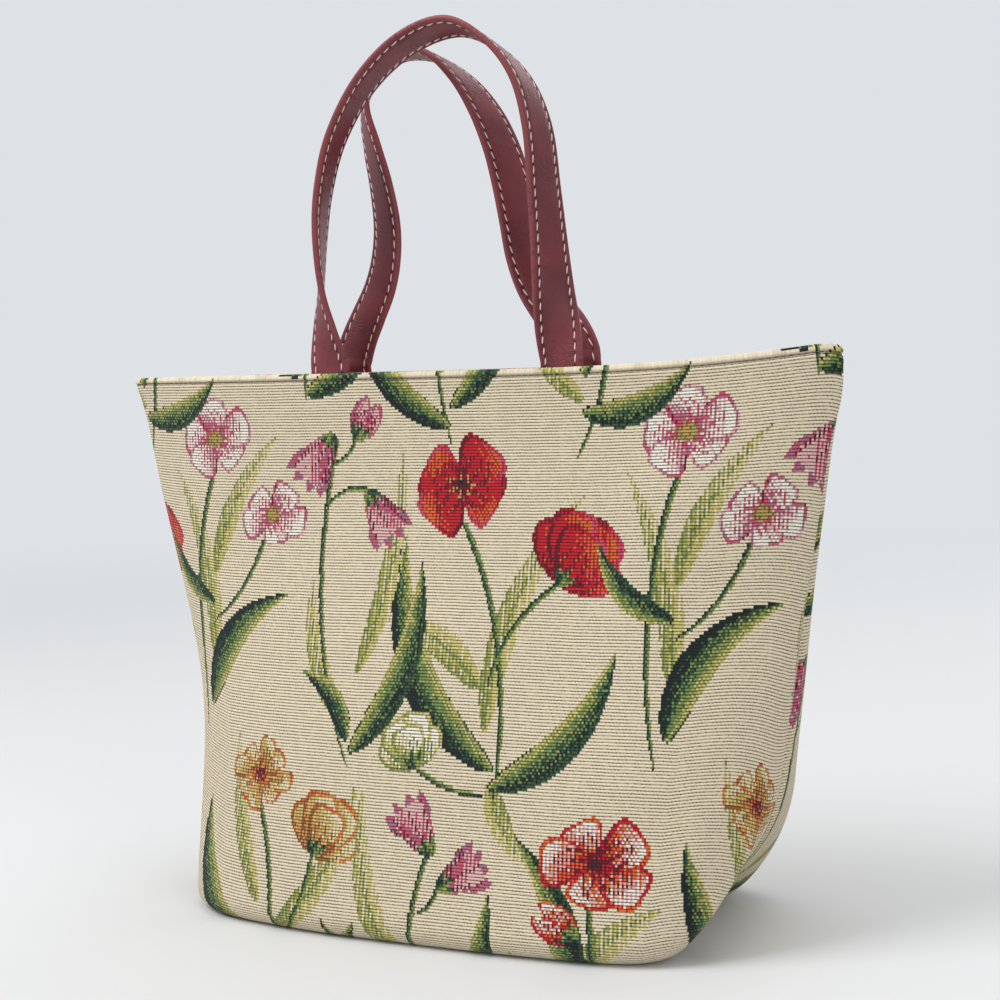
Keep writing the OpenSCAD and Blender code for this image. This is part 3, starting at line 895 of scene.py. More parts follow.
class Loom:
    """One repeat of the woven design, with a yarn colour for each thread of each rib.

    Places are in metres, x across and y up the cloth, and shapes that cross an edge come in at the other.
    """

    def __init__(self, yarns, thread, rib):
        self.yarns = yarns
        self.thread = thread
        self.rib = rib
        self.columns = round(REPEAT_WIDTH / thread)
        self.ribs = round(REPEAT_HEIGHT / rib)
        self.width = self.columns * thread
        self.height = self.ribs * rib
        column, row = np.meshgrid(np.arange(self.columns), np.arange(self.ribs))
        self.x = (column + 0.5) * thread
        self.y = (row + 0.5) * rib
        self.cells = np.tile(np.array(yarns["cream"]), (self.ribs, self.columns, 1))
        chance = CHANCE_SHARE * np.random.default_rng(LOOM_SEED).random((self.ribs, self.columns))
        lines = HATCH_SHARE * np.array(HATCH_LINES)
        order = {"brick": 2 * row + column, "thread": column, "twill": row + column}
        self.ranks = {name: lines[place % len(lines)] + chance for name, place in order.items()}

    def blade(self, start, end, width, tones, bend=0.0, taper=(0.6, 0.8), fall=(0.0, 1.0), dither="brick",
              blend=1.6, cover=(1.0, 1.0)):
        """Weaves one long shape from start to end.

        The tones run from its start to its end and from its left edge to its right one, as the two shares of
        fall say, and blend says how far they mix. The taper gives how soon the shape widens and narrows, and
        cover how many of its cells are woven at its start and at its end.
        """
        ahead = np.subtract(end, start)
        length = math.hypot(*ahead)
        ahead = ahead / length
        middle = np.add(start, end) / 2
        off_x = (self.x - middle[0] + self.width / 2) % self.width - self.width / 2
        off_y = (self.y - middle[1] + self.height / 2) % self.height - self.height / 2
        along = (off_x * ahead[0] + off_y * ahead[1]) / length + 0.5
        inside = (along > 0) & (along < 1)
        t = np.clip(along, SMALLEST, 1 - SMALLEST)
        across = off_x * ahead[1] - off_y * ahead[0] - bend * 4 * t * (1 - t)
        grow, shrink = taper
        top = grow / (grow + shrink)
        half = width / 2 * t ** grow * (1 - t) ** shrink / (top ** grow * (1 - top) ** shrink)
        side = across / np.maximum(half, SMALLEST)
        rank = self.ranks[dither]
        shade = 0.5 + fall[0] * (t - 0.5) + fall[1] * side / 2
        pick = np.floor(shade * (len(tones) - 1) + 0.5 + (rank - 0.5) * blend)
        pick = np.clip(pick, 0, len(tones) - 1).astype(int)
        woven = inside & (np.abs(side) < 1) & (rank[::-1] < mix(*cover, t))
        colours = np.array([self.yarns[tone] for tone in tones])
        self.cells[woven] = colours[pick[woven]]

    def stem(self, start, end, bend=0.0, width=0.0034):
        self.blade(start, end, width, GREENS, bend, (0.3, 0.05), dither="twill")

    def leaf(self, start, end, width, bend=0.0, side=1):
        """A leaf with a dark edge on one side, a light one on the other and veins along it."""
        self.blade(start, end, width, ["black_green", "black_green", "deep_green"], bend, (0.5, 0.9))
        self.blade(start, end, width * 0.82, GREENS + ["straw"], bend + side * width * 0.1, (0.55, 0.9),
                   (0.25, 0.95 * side), "twill", 3.0)
        for place, tone in ((-0.2, "black_green"), (0.02, "deep_green"), (0.22, "leaf_green")):
            self.blade(start, end, width * 0.1, [tone, tone, "leaf_green"], bend + side * width * place,
                       (0.4, 0.7), cover=(0.9, 0.5))

    def pale_leaf(self, start, end, width, bend=0.0):
        self.blade(start, end, width, ["leaf_green", "olive", "straw", "straw", "cream"], bend, (0.55, 0.9),
                   (0.35, 0.6), "thread", 2.4, (0.95, 0.55))
        self.blade(start, end, width * 0.2, ["leaf_green", "olive"], bend, (0.4, 0.7), cover=(0.9, 0.3))

    def petal(self, foot, tip, width, tones, edge, bend, taper, dither):
        """A petal with a dark edge, tones from its foot to its tip and streaks along it."""
        self.blade(foot, tip, width * 1.16, edge, bend, taper, (0.5, 0.6))
        inner = mix(np.array(foot), np.array(tip), 0.93)
        self.blade(foot, inner, width * 0.94, tones, bend, taper, (0.8, 0.5), dither, 2.6)
        reach = mix(np.array(foot), np.array(tip), 0.8)
        for place in (-0.22, 0.05, 0.28):
            self.blade(foot, reach, width * 0.11, [tones[0], tones[0], tones[-1]], bend + width * place,
                       (0.4, 0.6), (0.8, 0.0), cover=(0.9, 0.4))

    def open_bloom(self, centre, radius, petals, turn, tones, edge, eye, squeeze=0.86):
        """A bloom seen from above: overlapping petals about a dark eye."""
        for k in list(range(1, petals)) + [0]:
            way = heading(math.radians(turn) + k * math.tau / petals, squeeze)
            odd = (-1) ** k
            foot = np.add(centre, way * radius * 0.02)
            tip = np.add(centre, way * (radius * (1 + 0.08 * odd)))
            self.petal(foot, tip, radius * 3.9 / petals, tones, edge, radius * 0.06 * odd, (0.75, 0.27),
                       ("twill", "thread", "brick")[k % 3])
        for k in range(EYE_RAYS):
            way = heading(k * math.tau / EYE_RAYS, squeeze)
            self.blade(np.subtract(centre, way * radius * 0.1), np.add(centre, way * radius * 0.32),
                       radius * 0.13, eye, 0, (0.3, 0.5), (0.9, 0.0))

    def fan_bloom(self, foot, way, length, tones, edge):
        """A bloom seen from the side: broad petals fanned out from its foot, the nearest one in front."""
        for lean, share, wide in ((-36, 0.84, 0.5), (36, 0.86, 0.5), (-15, 1.0, 0.56), (17, 0.97, 0.56),
                                  (1, 0.78, 0.6)):
            tip = np.add(foot, heading(math.radians(way + lean)) * length * share)
            self.petal(foot, tip, length * wide, tones, edge, -lean / 36 * length * 0.07, (0.8, 0.24),
                       "thread" if lean < 0 else "brick")
        self.cup(foot, way)

    def bell(self, foot, way, length, tones, edge):
        """A hanging bell: a flared body that ends in pointed lobes."""
        ahead = heading(math.radians(way))
        beside = np.array((ahead[1], -ahead[0]))
        for lean in (-1, 1, -0.36, 0.36):
            start = np.add(foot, ahead * length * 0.5 + beside * lean * length * 0.17)
            tip = start + heading(math.radians(way - 26 * lean)) * length * (0.54 - 0.08 * abs(lean))
            self.blade(start, tip, length * 0.27, edge, 0, (0.4, 0.85), (0.6, 0.6), "twill")
        body = np.add(foot, ahead * length * 0.84)
        self.blade(foot, body, length * 0.62, edge, 0, (0.5, 0.1), (0.3, 0.8))
        self.blade(foot, body, length * 0.54, tones, 0, (0.5, 0.1), (0.7, 0.6), "thread", 2.2)
        for lean in (-0.24, 0.0, 0.24):
            tip = np.add(body, beside * lean * length * 1.2)
            self.blade(foot, tip, length * 0.06, [tones[0], tones[-1]], lean * length * 0.2, (0.3, 0.3),
                       (0.8, 0.0), cover=(0.9, 0.5))
        self.cup(foot, way)

    def bud(self, foot, way, length, tones, edge):
        """A closed bud of two folded petals."""
        for lean in (-9, 9):
            tip = np.add(foot, heading(math.radians(way + lean)) * length)
            self.petal(foot, tip, length * 0.36, tones, edge, -lean / 9 * length * 0.08, (0.5, 0.6), "twill")
        self.cup(foot, way)

    def cup(self, foot, way):
        """The green cup under a bloom seen from the side."""
        for lean in (-34, 34, 0):
            tip = np.add(foot, heading(math.radians(way + lean)) * CUP_LENGTH)
            self.blade(foot, tip, CUP_WIDTH, GREENS, 0, (0.4, 0.8))


POPPY = (["wine", "red", "red", "red", "orange"], ["wine", "wine", "red", "pink"])
POPPY_EYE = ["black_green", "wine", "ochre"]
ROSE = (["pink", "mauve", "blush", "white", "white"], ["wine", "pink", "mauve", "blush"])
ROSE_EYE = ["ochre", "olive", "brown"]
BELL = (["wine", "mauve", "pink", "blush", "blush"], ["wine", "mauve", "mauve", "pink"])
MARIGOLD = (["brown", "ochre", "ochre", "straw", "cream"], ["brown", "brown", "orange", "ochre"])
MARIGOLD_EYE = ["brown", "wine", "orange"]
FLAME = (["wine", "red", "orange", "blush", "white"], ["wine", "red", "red", "orange"])
FLAME_EYE = ["black_green", "wine", "red"]
PALE = (["leaf_green", "olive", "straw", "white", "white"], ["leaf_green", "olive", "straw"])


def weave_design(yarns, thread, rib):
    """The whole repeat: poppies, wild roses, bells and marigolds between leaves on a plain ground."""
    loom = Loom(yarns, thread, rib)

    # Poppy spray
    loom.pale_leaf((0.062, 0.126), (0.108, 0.240), 0.014, -0.012)
    loom.pale_leaf((0.058, 0.146), (0.000, 0.178), 0.015, 0.007)
    loom.pale_leaf((0.066, 0.104), (0.088, 0.066), 0.012, 0.004)
    loom.stem((0.068, 0.092), (0.042, 0.226), 0.012)
    loom.stem((0.062, 0.146), (0.094, 0.196), -0.006, 0.003)
    loom.leaf((0.067, 0.108), (0.010, 0.222), 0.020, -0.020)
    loom.leaf((0.066, 0.100), (0.126, 0.166), 0.017, 0.012, -1)
    loom.open_bloom((0.040, 0.244), 0.026, 4, 58, *POPPY, POPPY_EYE)
    loom.fan_bloom((0.095, 0.196), 58, 0.038, *POPPY)

    # Wild roses
    loom.pale_leaf((0.152, 0.150), (0.128, 0.250), 0.013, 0.008)
    loom.pale_leaf((0.154, 0.196), (0.196, 0.270), 0.012, -0.006)
    loom.stem((0.146, 0.112), (0.156, 0.254), -0.010)
    loom.stem((0.154, 0.172), (0.190, 0.222), 0.006, 0.003)
    loom.leaf((0.150, 0.126), (0.206, 0.188), 0.018, -0.013)
    loom.leaf((0.152, 0.180), (0.114, 0.216), 0.012, -0.007, -1)
    loom.open_bloom((0.156, 0.268), 0.023, 5, 100, *ROSE, ROSE_EYE)
    loom.open_bloom((0.193, 0.228), 0.019, 5, 62, *ROSE, ROSE_EYE)

    # Bells on an arched stem
    loom.pale_leaf((0.246, 0.126), (0.220, 0.196), 0.012, -0.007)
    loom.pale_leaf((0.252, 0.150), (0.270, 0.262), 0.012, 0.006)
    loom.stem((0.252, 0.104), (0.232, 0.268), -0.016, 0.0032)
    loom.leaf((0.252, 0.112), (0.284, 0.206), 0.016, 0.012, -1)
    loom.leaf((0.250, 0.118), (0.218, 0.150), 0.011, 0.006)
    loom.bell((0.230, 0.270), 232, 0.034, *BELL)
    loom.stem((0.225, 0.232), (0.250, 0.242), -0.004, 0.0026)
    loom.bell((0.250, 0.241), 306, 0.032, *BELL)
    loom.stem((0.227, 0.254), (0.243, 0.268), 0.003, 0.0026)
    loom.bud((0.243, 0.267), 62, 0.024, *BELL)

    # Marigolds
    loom.pale_leaf((0.214, 0.020), (0.258, 0.100), 0.014, 0.009)
    loom.pale_leaf((0.206, 0.036), (0.178, 0.118), 0.011, -0.005)
    loom.stem((0.214, -0.012), (0.200, 0.084), 0.007)
    loom.stem((0.213, 0.010), (0.236, 0.062), 0.005, 0.003)
    loom.leaf((0.213, 0.000), (0.160, 0.080), 0.019, -0.015)
    loom.leaf((0.214, -0.010), (0.262, 0.034), 0.014, 0.008, -1)
    loom.open_bloom((0.198, 0.098), 0.020, 8, 84, *MARIGOLD, MARIGOLD_EYE)
    loom.fan_bloom((0.236, 0.062), 66, 0.032, *MARIGOLD)

    # Flame poppy
    loom.pale_leaf((0.108, 0.004), (0.152, 0.052), 0.014, -0.008)
    loom.pale_leaf((0.104, -0.016), (0.078, 0.028), 0.011, -0.005)
    loom.stem((0.102, -0.044), (0.116, 0.056), 0.008)
    loom.leaf((0.104, -0.022), (0.158, 0.000), 0.015, 0.009, -1)
    loom.leaf((0.106, -0.004), (0.080, 0.080), 0.016, 0.012, -1)
    loom.open_bloom((0.120, 0.070), 0.025, 5, 40, *FLAME, FLAME_EYE)
    loom.bud((0.112, 0.036), 150, 0.024, *FLAME)

    # Young bells and a pale bud
    loom.pale_leaf((0.030, 0.000), (-0.002, 0.098), 0.013, -0.010)
    loom.stem((0.034, -0.036), (0.036, 0.070), -0.008, 0.003)
    loom.leaf((0.034, -0.018), (0.068, 0.054), 0.014, 0.010, -1)
    loom.leaf((0.033, -0.028), (-0.020, 0.034), 0.015, -0.010)
    loom.bell((0.038, 0.068), 128, 0.031, *BELL)
    loom.stem((0.030, 0.040), (0.042, 0.054), 0.003, 0.0026)
    loom.bell((0.042, 0.053), 32, 0.029, *BELL)
    loom.stem((0.066, 0.098), (0.026, 0.108), -0.004, 0.0028)
    loom.fan_bloom((0.027, 0.107), 112, 0.027, *PALE)
    return loom


# Materials


class Nodes:
    """Shorthand for adding nodes to a tree and linking them."""

    def __init__(self, tree):
        self.tree = tree

    def add(self, kind, inputs=None, **settings):
        node = self.tree.nodes.new(kind)
        for name, value in settings.items():
            setattr(node, name, value)
        for name, value in (inputs or {}).items():
            self.feed(node.inputs[name], value)
        return node

    def feed(self, socket, value):
        if isinstance(value, bpy.types.NodeSocket):
            self.tree.links.new(value, socket)
        else:
            socket.default_value = value

    def math(self, operation, first, second=0.0, third=0.0):
        inputs = {0: first, 1: second, 2: third}
        return self.add("ShaderNodeMath", inputs, operation=operation).outputs[0]

    def ramp(self, value, low, high, out_low=0.0, out_high=1.0):
        inputs = {"Value": value, "From Min": low, "From Max": high, "To Min": out_low, "To Max": out_high}
        return self.add("ShaderNodeMapRange", inputs, interpolation_type="SMOOTHSTEP").outputs["Result"]

    def blend(self, factor, first, second, kind="MIX"):
        inputs = {"Factor": factor, 6: first, 7: second}
        return self.add("ShaderNodeMix", inputs, data_type="RGBA", blend_type=kind).outputs[2]

    def vector(self, operation, *vectors):
        return self.add("ShaderNodeVectorMath", dict(enumerate(vectors)), operation=operation).outputs[0]

    def place(self):
        return self.add("ShaderNodeTexCoord").outputs["Object"]

    def bump(self, strength, distance, height):
        inputs = {"Strength": strength, "Distance": distance, "Height": height}
        return self.add("ShaderNodeBump", inputs).outputs["Normal"]

    def noise(self, vector, scale, detail=2.0, roughness=0.5):
        inputs = {"Vector": vector, "Scale": scale, "Detail": detail, "Roughness": roughness}
        return self.add("ShaderNodeTexNoise", inputs).outputs["Fac"]


def new_group(name, inputs, outputs):
    tree = bpy.data.node_groups.new(name, "ShaderNodeTree")
    for label, kind in inputs:
        tree.interface.new_socket(name=label, in_out="INPUT", socket_type=kind)
    for label, kind in outputs:
        tree.interface.new_socket(name=label, in_out="OUTPUT", socket_type=kind)
    nodes = Nodes(tree)
    return nodes, nodes.add("NodeGroupInput").outputs, nodes.add("NodeGroupOutput").inputs


DASH_THREADS = 1.7
DASH_STAGGER = 0.37
DASH_DEPTH = 0.5
RIB_DRIFT = 0.3
RIB_ROUND = 0.55
FIBRE_STRETCH = (0.8, 2.6, 1.0)
FIBRE_HEIGHT = 0.35


def ribbed_weave_group():
    """Ribs across the cloth, with the furrows between them and the dashes where the crossing threads dip
    into them, as masks for painted shade.
    """
    found = bpy.data.node_groups.get("Ribbed weave")
    if found:
        return found
    nodes, given, made = new_group(
        "Ribbed weave",
        [("Threads", "NodeSocketVector")],
        [(name, "NodeSocketFloat") for name in ("Height", "Furrow", "Dash", "Yarn")])
    split = nodes.add("ShaderNodeSeparateXYZ", {0: given["Threads"]}).outputs
    drift = nodes.noise(given["Threads"], 0.11, 2.0)
    wander = nodes.math("MULTIPLY_ADD", drift, RIB_DRIFT, split["Y"])
    phase = nodes.math("FRACT", wander)
    ridge = nodes.math("SUBTRACT", 1.0, nodes.math("ABSOLUTE", nodes.math("MULTIPLY_ADD", phase, 2.0, -1.0)))
    row = nodes.math("FLOOR", nodes.math("ADD", wander, 0.5))
    along = nodes.math("MULTIPLY_ADD", row, DASH_STAGGER, nodes.math("DIVIDE", split["X"], DASH_THREADS))
    cell = nodes.add("ShaderNodeCombineXYZ", {0: nodes.math("FLOOR", along), 1: row}).outputs[0]
    chance = nodes.add("ShaderNodeTexWhiteNoise", {"Vector": cell}, noise_dimensions="2D").outputs["Value"]
    off_middle = nodes.math("ABSOLUTE", nodes.math("MULTIPLY_ADD", nodes.math("FRACT", along), 2.0, -1.0))
    patch = nodes.ramp(nodes.noise(given["Threads"], 0.16, 2.0), 0.35, 0.65, -0.2, 0.3)
    strength = nodes.ramp(nodes.math("ADD", chance, patch), -0.15, 0.85)
    mark = nodes.math("MULTIPLY", nodes.ramp(off_middle, 0.8, 0.3), strength)
    furrow = nodes.ramp(ridge, 0.62, 0.08)
    dash = nodes.math("MULTIPLY", nodes.ramp(ridge, 0.52, 0.16), mark)
    yarn = nodes.noise(nodes.vector("MULTIPLY", given["Threads"], FIBRE_STRETCH), 1.0, 3.0, 0.6)
    fibre = nodes.math("MULTIPLY_ADD", yarn, FIBRE_HEIGHT, nodes.math("POWER", ridge, RIB_ROUND))
    height = nodes.math("SUBTRACT", fibre, nodes.math("MULTIPLY", dash, DASH_DEPTH))
    found = {"Height": height, "Furrow": furrow, "Dash": dash, "Yarn": yarn}
    for name, value in found.items():
        nodes.feed(made[name], value)
    return nodes.tree


GRAIN_SCALE = 1500.0
WRINKLE_WARP = (0.010, 0.014, 0.0)
WRINKLE_STRETCH = (90.0, 330.0, 1.0)
# Band at the strap's sides that gets a painted highlight.
LIT_EDGE_BAND = (0.0094, 0.0108)


def leather_grain_group():
    """Fine grain, broken wrinkles, rolled edges and the needle holes between the stitches of a strap."""
    found = bpy.data.node_groups.get("Leather grain")
    if found:
        return found
    nodes, given, made = new_group(
        "Leather grain",
        [("Place", "NodeSocketVector"), ("Strip", "NodeSocketVector"), ("Row", "NodeSocketFloat"),
         ("Pitch", "NodeSocketFloat"), ("Start", "NodeSocketFloat")],
        [(name, "NodeSocketFloat") for name in ("Grain", "Wrinkle", "Tone", "Edge", "Hole")])
    grain = nodes.add("ShaderNodeTexVoronoi", {"Vector": given["Place"], "Scale": GRAIN_SCALE},
                      feature="SMOOTH_F1").outputs["Distance"]
    ripple = {"Vector": given["Strip"], "Scale": 90.0, "Detail": 3.0}
    warp = nodes.add("ShaderNodeTexNoise", ripple).outputs["Color"]
    bent = nodes.vector("MULTIPLY_ADD", warp, WRINKLE_WARP, given["Strip"])
    folds = nodes.noise(nodes.vector("MULTIPLY", bent, WRINKLE_STRETCH), 1.0, 2.0)
    crease = nodes.ramp(nodes.math("ABSOLUTE", nodes.math("SUBTRACT", folds, 0.5)), 0.05, 0.0)
    worked = nodes.ramp(nodes.noise(given["Strip"], 38.0, 2.0), 0.44, 0.66)
    wrinkle = nodes.math("MULTIPLY", crease, worked)
    split = nodes.add("ShaderNodeSeparateXYZ", {0: given["Strip"]}).outputs
    beside = nodes.math("ABSOLUTE", split["X"])
    from_row = nodes.math("ABSOLUTE", nodes.math("SUBTRACT", beside, given["Row"]))
    steps = nodes.math("DIVIDE", nodes.math("SUBTRACT", split["Y"], given["Start"]), given["Pitch"])
    turn = nodes.math("FRACT", nodes.math("ADD", steps, 0.5))
    from_hole = nodes.math("ABSOLUTE", nodes.math("SUBTRACT", turn, 0.5))
    hole = nodes.math("MULTIPLY", nodes.ramp(from_row, 0.0010, 0.0003), nodes.ramp(from_hole, 0.16, 0.04))
    tone = nodes.noise(given["Place"], 24.0, 5.0, 0.6)
    edge = nodes.ramp(beside, *LIT_EDGE_BAND)
    found = {"Grain": grain, "Wrinkle": wrinkle, "Tone": tone, "Edge": edge, "Hole": hole}
    for name, value in found.items():
        nodes.feed(made[name], value)
    return nodes.tree


def new_material(name, values):
    """A material with a Principled shader that has these values on its own sockets."""
    material = bpy.data.materials.new(name)
    material.use_nodes = True
    material.node_tree.nodes.clear()
    nodes = Nodes(material.node_tree)
    shader = nodes.add("ShaderNodeBsdfPrincipled", values)
    nodes.add("ShaderNodeOutputMaterial", {"Surface": shader.outputs[0]})
    return material, nodes, shader.inputs


def opaque(colour, share=1.0):
    return (*(value * share for value in colour), 1.0)


def ribbed_weave(nodes):
    """The outputs of the ribbed weave, laid on a sheet's own threads and ribs."""
    threads = nodes.add("ShaderNodeUVMap", uv_map="weave").outputs["UV"]
    return nodes.add("ShaderNodeGroup", {"Threads": threads}, node_tree=ribbed_weave_group()).outputs


# Shares of a yarn's own colour: dim and bright along the strand, partly random tone and partly painted
# highlight on the raised fibres; painted shade down in the furrows and in the dashes.
YARN_DIM = (0.82, 0.81, 0.78, 1)
YARN_BRIGHT = (1.07, 1.07, 1.07, 1)
MOTIF_FURROW_SHADE = (0.34, 0.31, 0.30, 1)
GROUND_FURROW_SHADE = (0.52, 0.47, 0.39, 1)
DASH_SHADE = (0.15, 0.12, 0.09, 1)


def tapestry_material():
    material, nodes, shader = new_material("Woven tapestry", {
        "Roughness": 0.88, "Specular IOR Level": 0.25, "Sheen Weight": 0.08, "Sheen Roughness": 0.6})
    dyed = nodes.add("ShaderNodeVertexColor", layer_name="yarn").outputs
    weave = ribbed_weave(nodes)
    # Partly random tone and partly painted highlight: the yarn is brighter where its fibre noise also raises
    # the bump.
    lit = nodes.blend(nodes.ramp(weave["Yarn"], 0.3, 0.75), YARN_DIM, YARN_BRIGHT)
    strand = nodes.blend(1.0, dyed["Color"], lit, "MULTIPLY")
    # Painted shade down in the furrows, deeper on the motifs than on the plain ground.
    shadow = nodes.blend(dyed["Alpha"], MOTIF_FURROW_SHADE, GROUND_FURROW_SHADE)
    low = nodes.blend(1.0, strand, shadow, "MULTIPLY")
    # Painted shade in the dashes where the crossing threads dip between the ribs.
    dark = nodes.blend(1.0, strand, DASH_SHADE, "MULTIPLY")
    furrowed = nodes.blend(weave["Furrow"], strand, low)
    nodes.feed(shader["Base Color"], nodes.blend(weave["Dash"], furrowed, dark))
    nodes.feed(shader["Normal"], nodes.bump(0.7, 0.00045, weave["Height"]))
    return material


def lining_material(colours):
    material, nodes, shader = new_material("Cotton lining", {"Roughness": 0.9, "Specular IOR Level": 0.2})
    weave = ribbed_weave(nodes)
    cloud = nodes.ramp(nodes.noise(nodes.place(), 25.0, 3.0), 0.3, 0.7)
    base = nodes.blend(cloud, opaque(colours.lining, 0.88), opaque(colours.lining))
    # Painted shade down in the furrows between the ribs.
    low = nodes.math("MULTIPLY", weave["Furrow"], 0.3)
    nodes.feed(shader["Base Color"], nodes.blend(low, base, opaque(colours.lining, 0.5)))
    nodes.feed(shader["Normal"], nodes.bump(0.4, 0.0002, weave["Height"]))
    return material


def strap_material(colours, handles):
    material, nodes, shader = new_material("Burgundy leather", {
        "Specular IOR Level": 0.4, "Specular Tint": (1.0, 0.72, 0.76, 1.0)})
    given = {
        "Place": nodes.place(),
        "Strip": nodes.add("ShaderNodeUVMap", uv_map="strap").outputs["UV"],
        "Row": handles.width / 2 - handles.stitch_inset,
        "Pitch": handles.stitch_pitch,
        "Start": handles.tail,
    }
    grain = nodes.add("ShaderNodeGroup", given, node_tree=leather_grain_group()).outputs
    tone = nodes.ramp(grain["Tone"], 0.3, 0.7)
    hide = nodes.blend(tone, opaque(colours.strap, 0.70), opaque(colours.strap, 1.32))
    # Painted highlight along the rolled edges of the strap.
    edge = nodes.math("MULTIPLY", grain["Edge"], 0.75)
    edge_highlighted = nodes.blend(edge, hide, opaque(colours.strap_edge_highlight))
    # Painted shade down in the creases of the wrinkles.
    crease = nodes.math("MULTIPLY", grain["Wrinkle"], 0.45)
    crease_shaded = nodes.blend(crease, edge_highlighted, opaque(colours.strap, 0.45))
    # Painted shade in the needle holes between the stitches.
    nodes.feed(shader["Base Color"], nodes.blend(grain["Hole"], crease_shaded, opaque(colours.strap, 0.22)))
    nodes.feed(shader["Roughness"], nodes.ramp(grain["Tone"], 0.2, 0.8, 0.40, 0.50))
    folded = nodes.math("MULTIPLY_ADD", grain["Wrinkle"], -0.6, grain["Tone"])
    height = nodes.math("MULTIPLY_ADD", grain["Grain"], 0.15, folded)
    nodes.feed(shader["Normal"], nodes.bump(0.6, 0.0006, height))
    return material


def thread_material(name, colour):
    material, nodes, shader = new_material(name, {"Roughness": 0.7, "Sheen Weight": 0.1})
    twist = nodes.noise(nodes.place(), 2600.0, 2.0)
    shade = nodes.ramp(twist, 0.35, 0.65)
    nodes.feed(shader["Base Color"], nodes.blend(shade, opaque(colour, 0.72), opaque(colour, 1.05)))
    nodes.feed(shader["Normal"], nodes.bump(0.3, 0.0002, twist))
    return material


# Stage

CAMERA_PLACE = (0.445, -0.861, 0.279)
CAMERA_YAW = math.radians(26.2)
CAMERA_PITCH = math.radians(4.4)
CAMERA_ROLL = math.radians(-1.7)
CAMERA_LENS = 69.84
SENSOR_WIDTH = 36
FLOOR_REACH = 12
FLOOR_FADE = (0.3, 2.2)
LAMPS = [
    ["key_lamp", (-1.15, -1.0, 1.85), 1.2, 32],
    ["fill_lamp", (1.6, -1.1, 0.8), 1.2, 8],
    ["top_lamp", (0.1, 0.1, 2.0), 1.4, 11],
    ["back_lamp", (0.3, 1.8, 1.0), 1.2, 7],
]
LAMP_AIM = Vector((0, 0, 0.2))
WORLD_STRENGTH = 0.5


def aim_camera():
    look = np.array((-math.sin(CAMERA_YAW) * math.cos(CAMERA_PITCH),
                     math.cos(CAMERA_YAW) * math.cos(CAMERA_PITCH), -math.sin(CAMERA_PITCH)))
    level = np.array((math.cos(CAMERA_YAW), math.sin(CAMERA_YAW), 0))
    upright = np.cross(level, look)
    right = math.cos(CAMERA_ROLL) * level + math.sin(CAMERA_ROLL) * upright
    up = -math.sin(CAMERA_ROLL) * level + math.cos(CAMERA_ROLL) * upright
    turn = Matrix(np.stack((right, up, -look), axis=1).tolist()).to_4x4()
    camera = bpy.data.objects.new("camera", bpy.data.cameras.new("camera"))
    camera.data.lens = CAMERA_LENS
    camera.data.sensor_width = SENSOR_WIDTH
    camera.matrix_world = Matrix.Translation(CAMERA_PLACE) @ turn
    bpy.context.scene.collection.objects.link(camera)
    bpy.context.scene.camera = camera


def hang_lamps():
    for name, place, size, power in LAMPS:
        lamp = bpy.data.lights.new(name, "AREA")
        lamp.size = size
        lamp.energy = power
        holder = bpy.data.objects.new(name, lamp)
        holder.location = place
        holder.rotation_mode = "QUATERNION"
        holder.rotation_quaternion = (LAMP_AIM - Vector(place)).to_track_quat("-Z", "Y")
        holder.visible_camera = False
        bpy.context.scene.collection.objects.link(holder)


def light_world(colours):
    world = bpy.data.worlds.new("studio")
    world.use_nodes = True
    world.node_tree.nodes.clear()
    nodes = Nodes(world.node_tree)
    path = nodes.add("ShaderNodeLightPath").outputs
    seen = nodes.math("MAXIMUM", path["Is Camera Ray"], path["Is Glossy Ray"])
    soft = nodes.add("ShaderNodeBackground", {"Color": (1, 1, 1, 1), "Strength": WORLD_STRENGTH}).outputs[0]
    plain = nodes.add("ShaderNodeBackground", {"Color": opaque(colours.backdrop)}).outputs[0]
    both = nodes.add("ShaderNodeMixShader", {0: seen, 1: soft, 2: plain}).outputs[0]
    nodes.add("ShaderNodeOutputWorld", {"Surface": both})
    bpy.context.scene.world = world


def floor_material(colours):
    """Pale floor that fades into the backdrop with its distance from the bag."""
    values = {"Roughness": 0.7, "Base Color": opaque(colours.floor)}
    material, nodes, _ = new_material("Pale floor", values)
    far = nodes.add("ShaderNodeVectorMath", {0: nodes.place()}, operation="LENGTH").outputs["Value"]
    path = nodes.add("ShaderNodeLightPath").outputs
    fade = nodes.math("MULTIPLY", nodes.ramp(far, *FLOOR_FADE), path["Is Camera Ray"])
    distant = nodes.add("ShaderNodeEmission", {"Color": opaque(colours.backdrop)}).outputs[0]
    principled = material.node_tree.nodes["Principled BSDF"].outputs[0]
    both = nodes.add("ShaderNodeMixShader", {0: fade, 1: principled, 2: distant}).outputs[0]
    nodes.feed(material.node_tree.nodes["Material Output"].inputs["Surface"], both)
    return material


def lay_floor(colours):
    bm = bmesh.new()
    bmesh.ops.create_grid(bm, x_segments=1, y_segments=1, size=FLOOR_REACH)
    mesh = bpy.data.meshes.new("floor")
    bm.to_mesh(mesh)
    bm.free()
    mesh.materials.append(floor_material(colours))
    floor = bpy.data.objects.new("floor", mesh)
    bpy.context.scene.collection.objects.link(floor)


# Operators

PANEL_OFFSETS = {FRONT: (30, 0), BACK: (150, 70)}
FACING_OFFSETS = {FRONT: (95, 120), BACK: (10, 165)}


def made_form():
    return BagForm(bpy.context.scene.tote_bag)


def yarn_colours(colours):
    return {name: tuple(getattr(colours, name)) for name in TOTE_PG_colours.__annotations__}


def kept_material(name, make, *values):
    return bpy.data.materials.get(name) or make(*values)


class TOTE_OT_stage(bpy.types.Operator):
    """Sets the camera, the lamps, the world and the floor"""

    bl_idname = "tote.stage"
    bl_label = "Set the Stage"

    def execute(self, context):
        colours = context.scene.tote_colours
        context.scene.view_settings.view_transform = "Standard"
        aim_camera()
        hang_lamps()
        light_world(colours)
        lay_floor(colours)
        return {"FINISHED"}


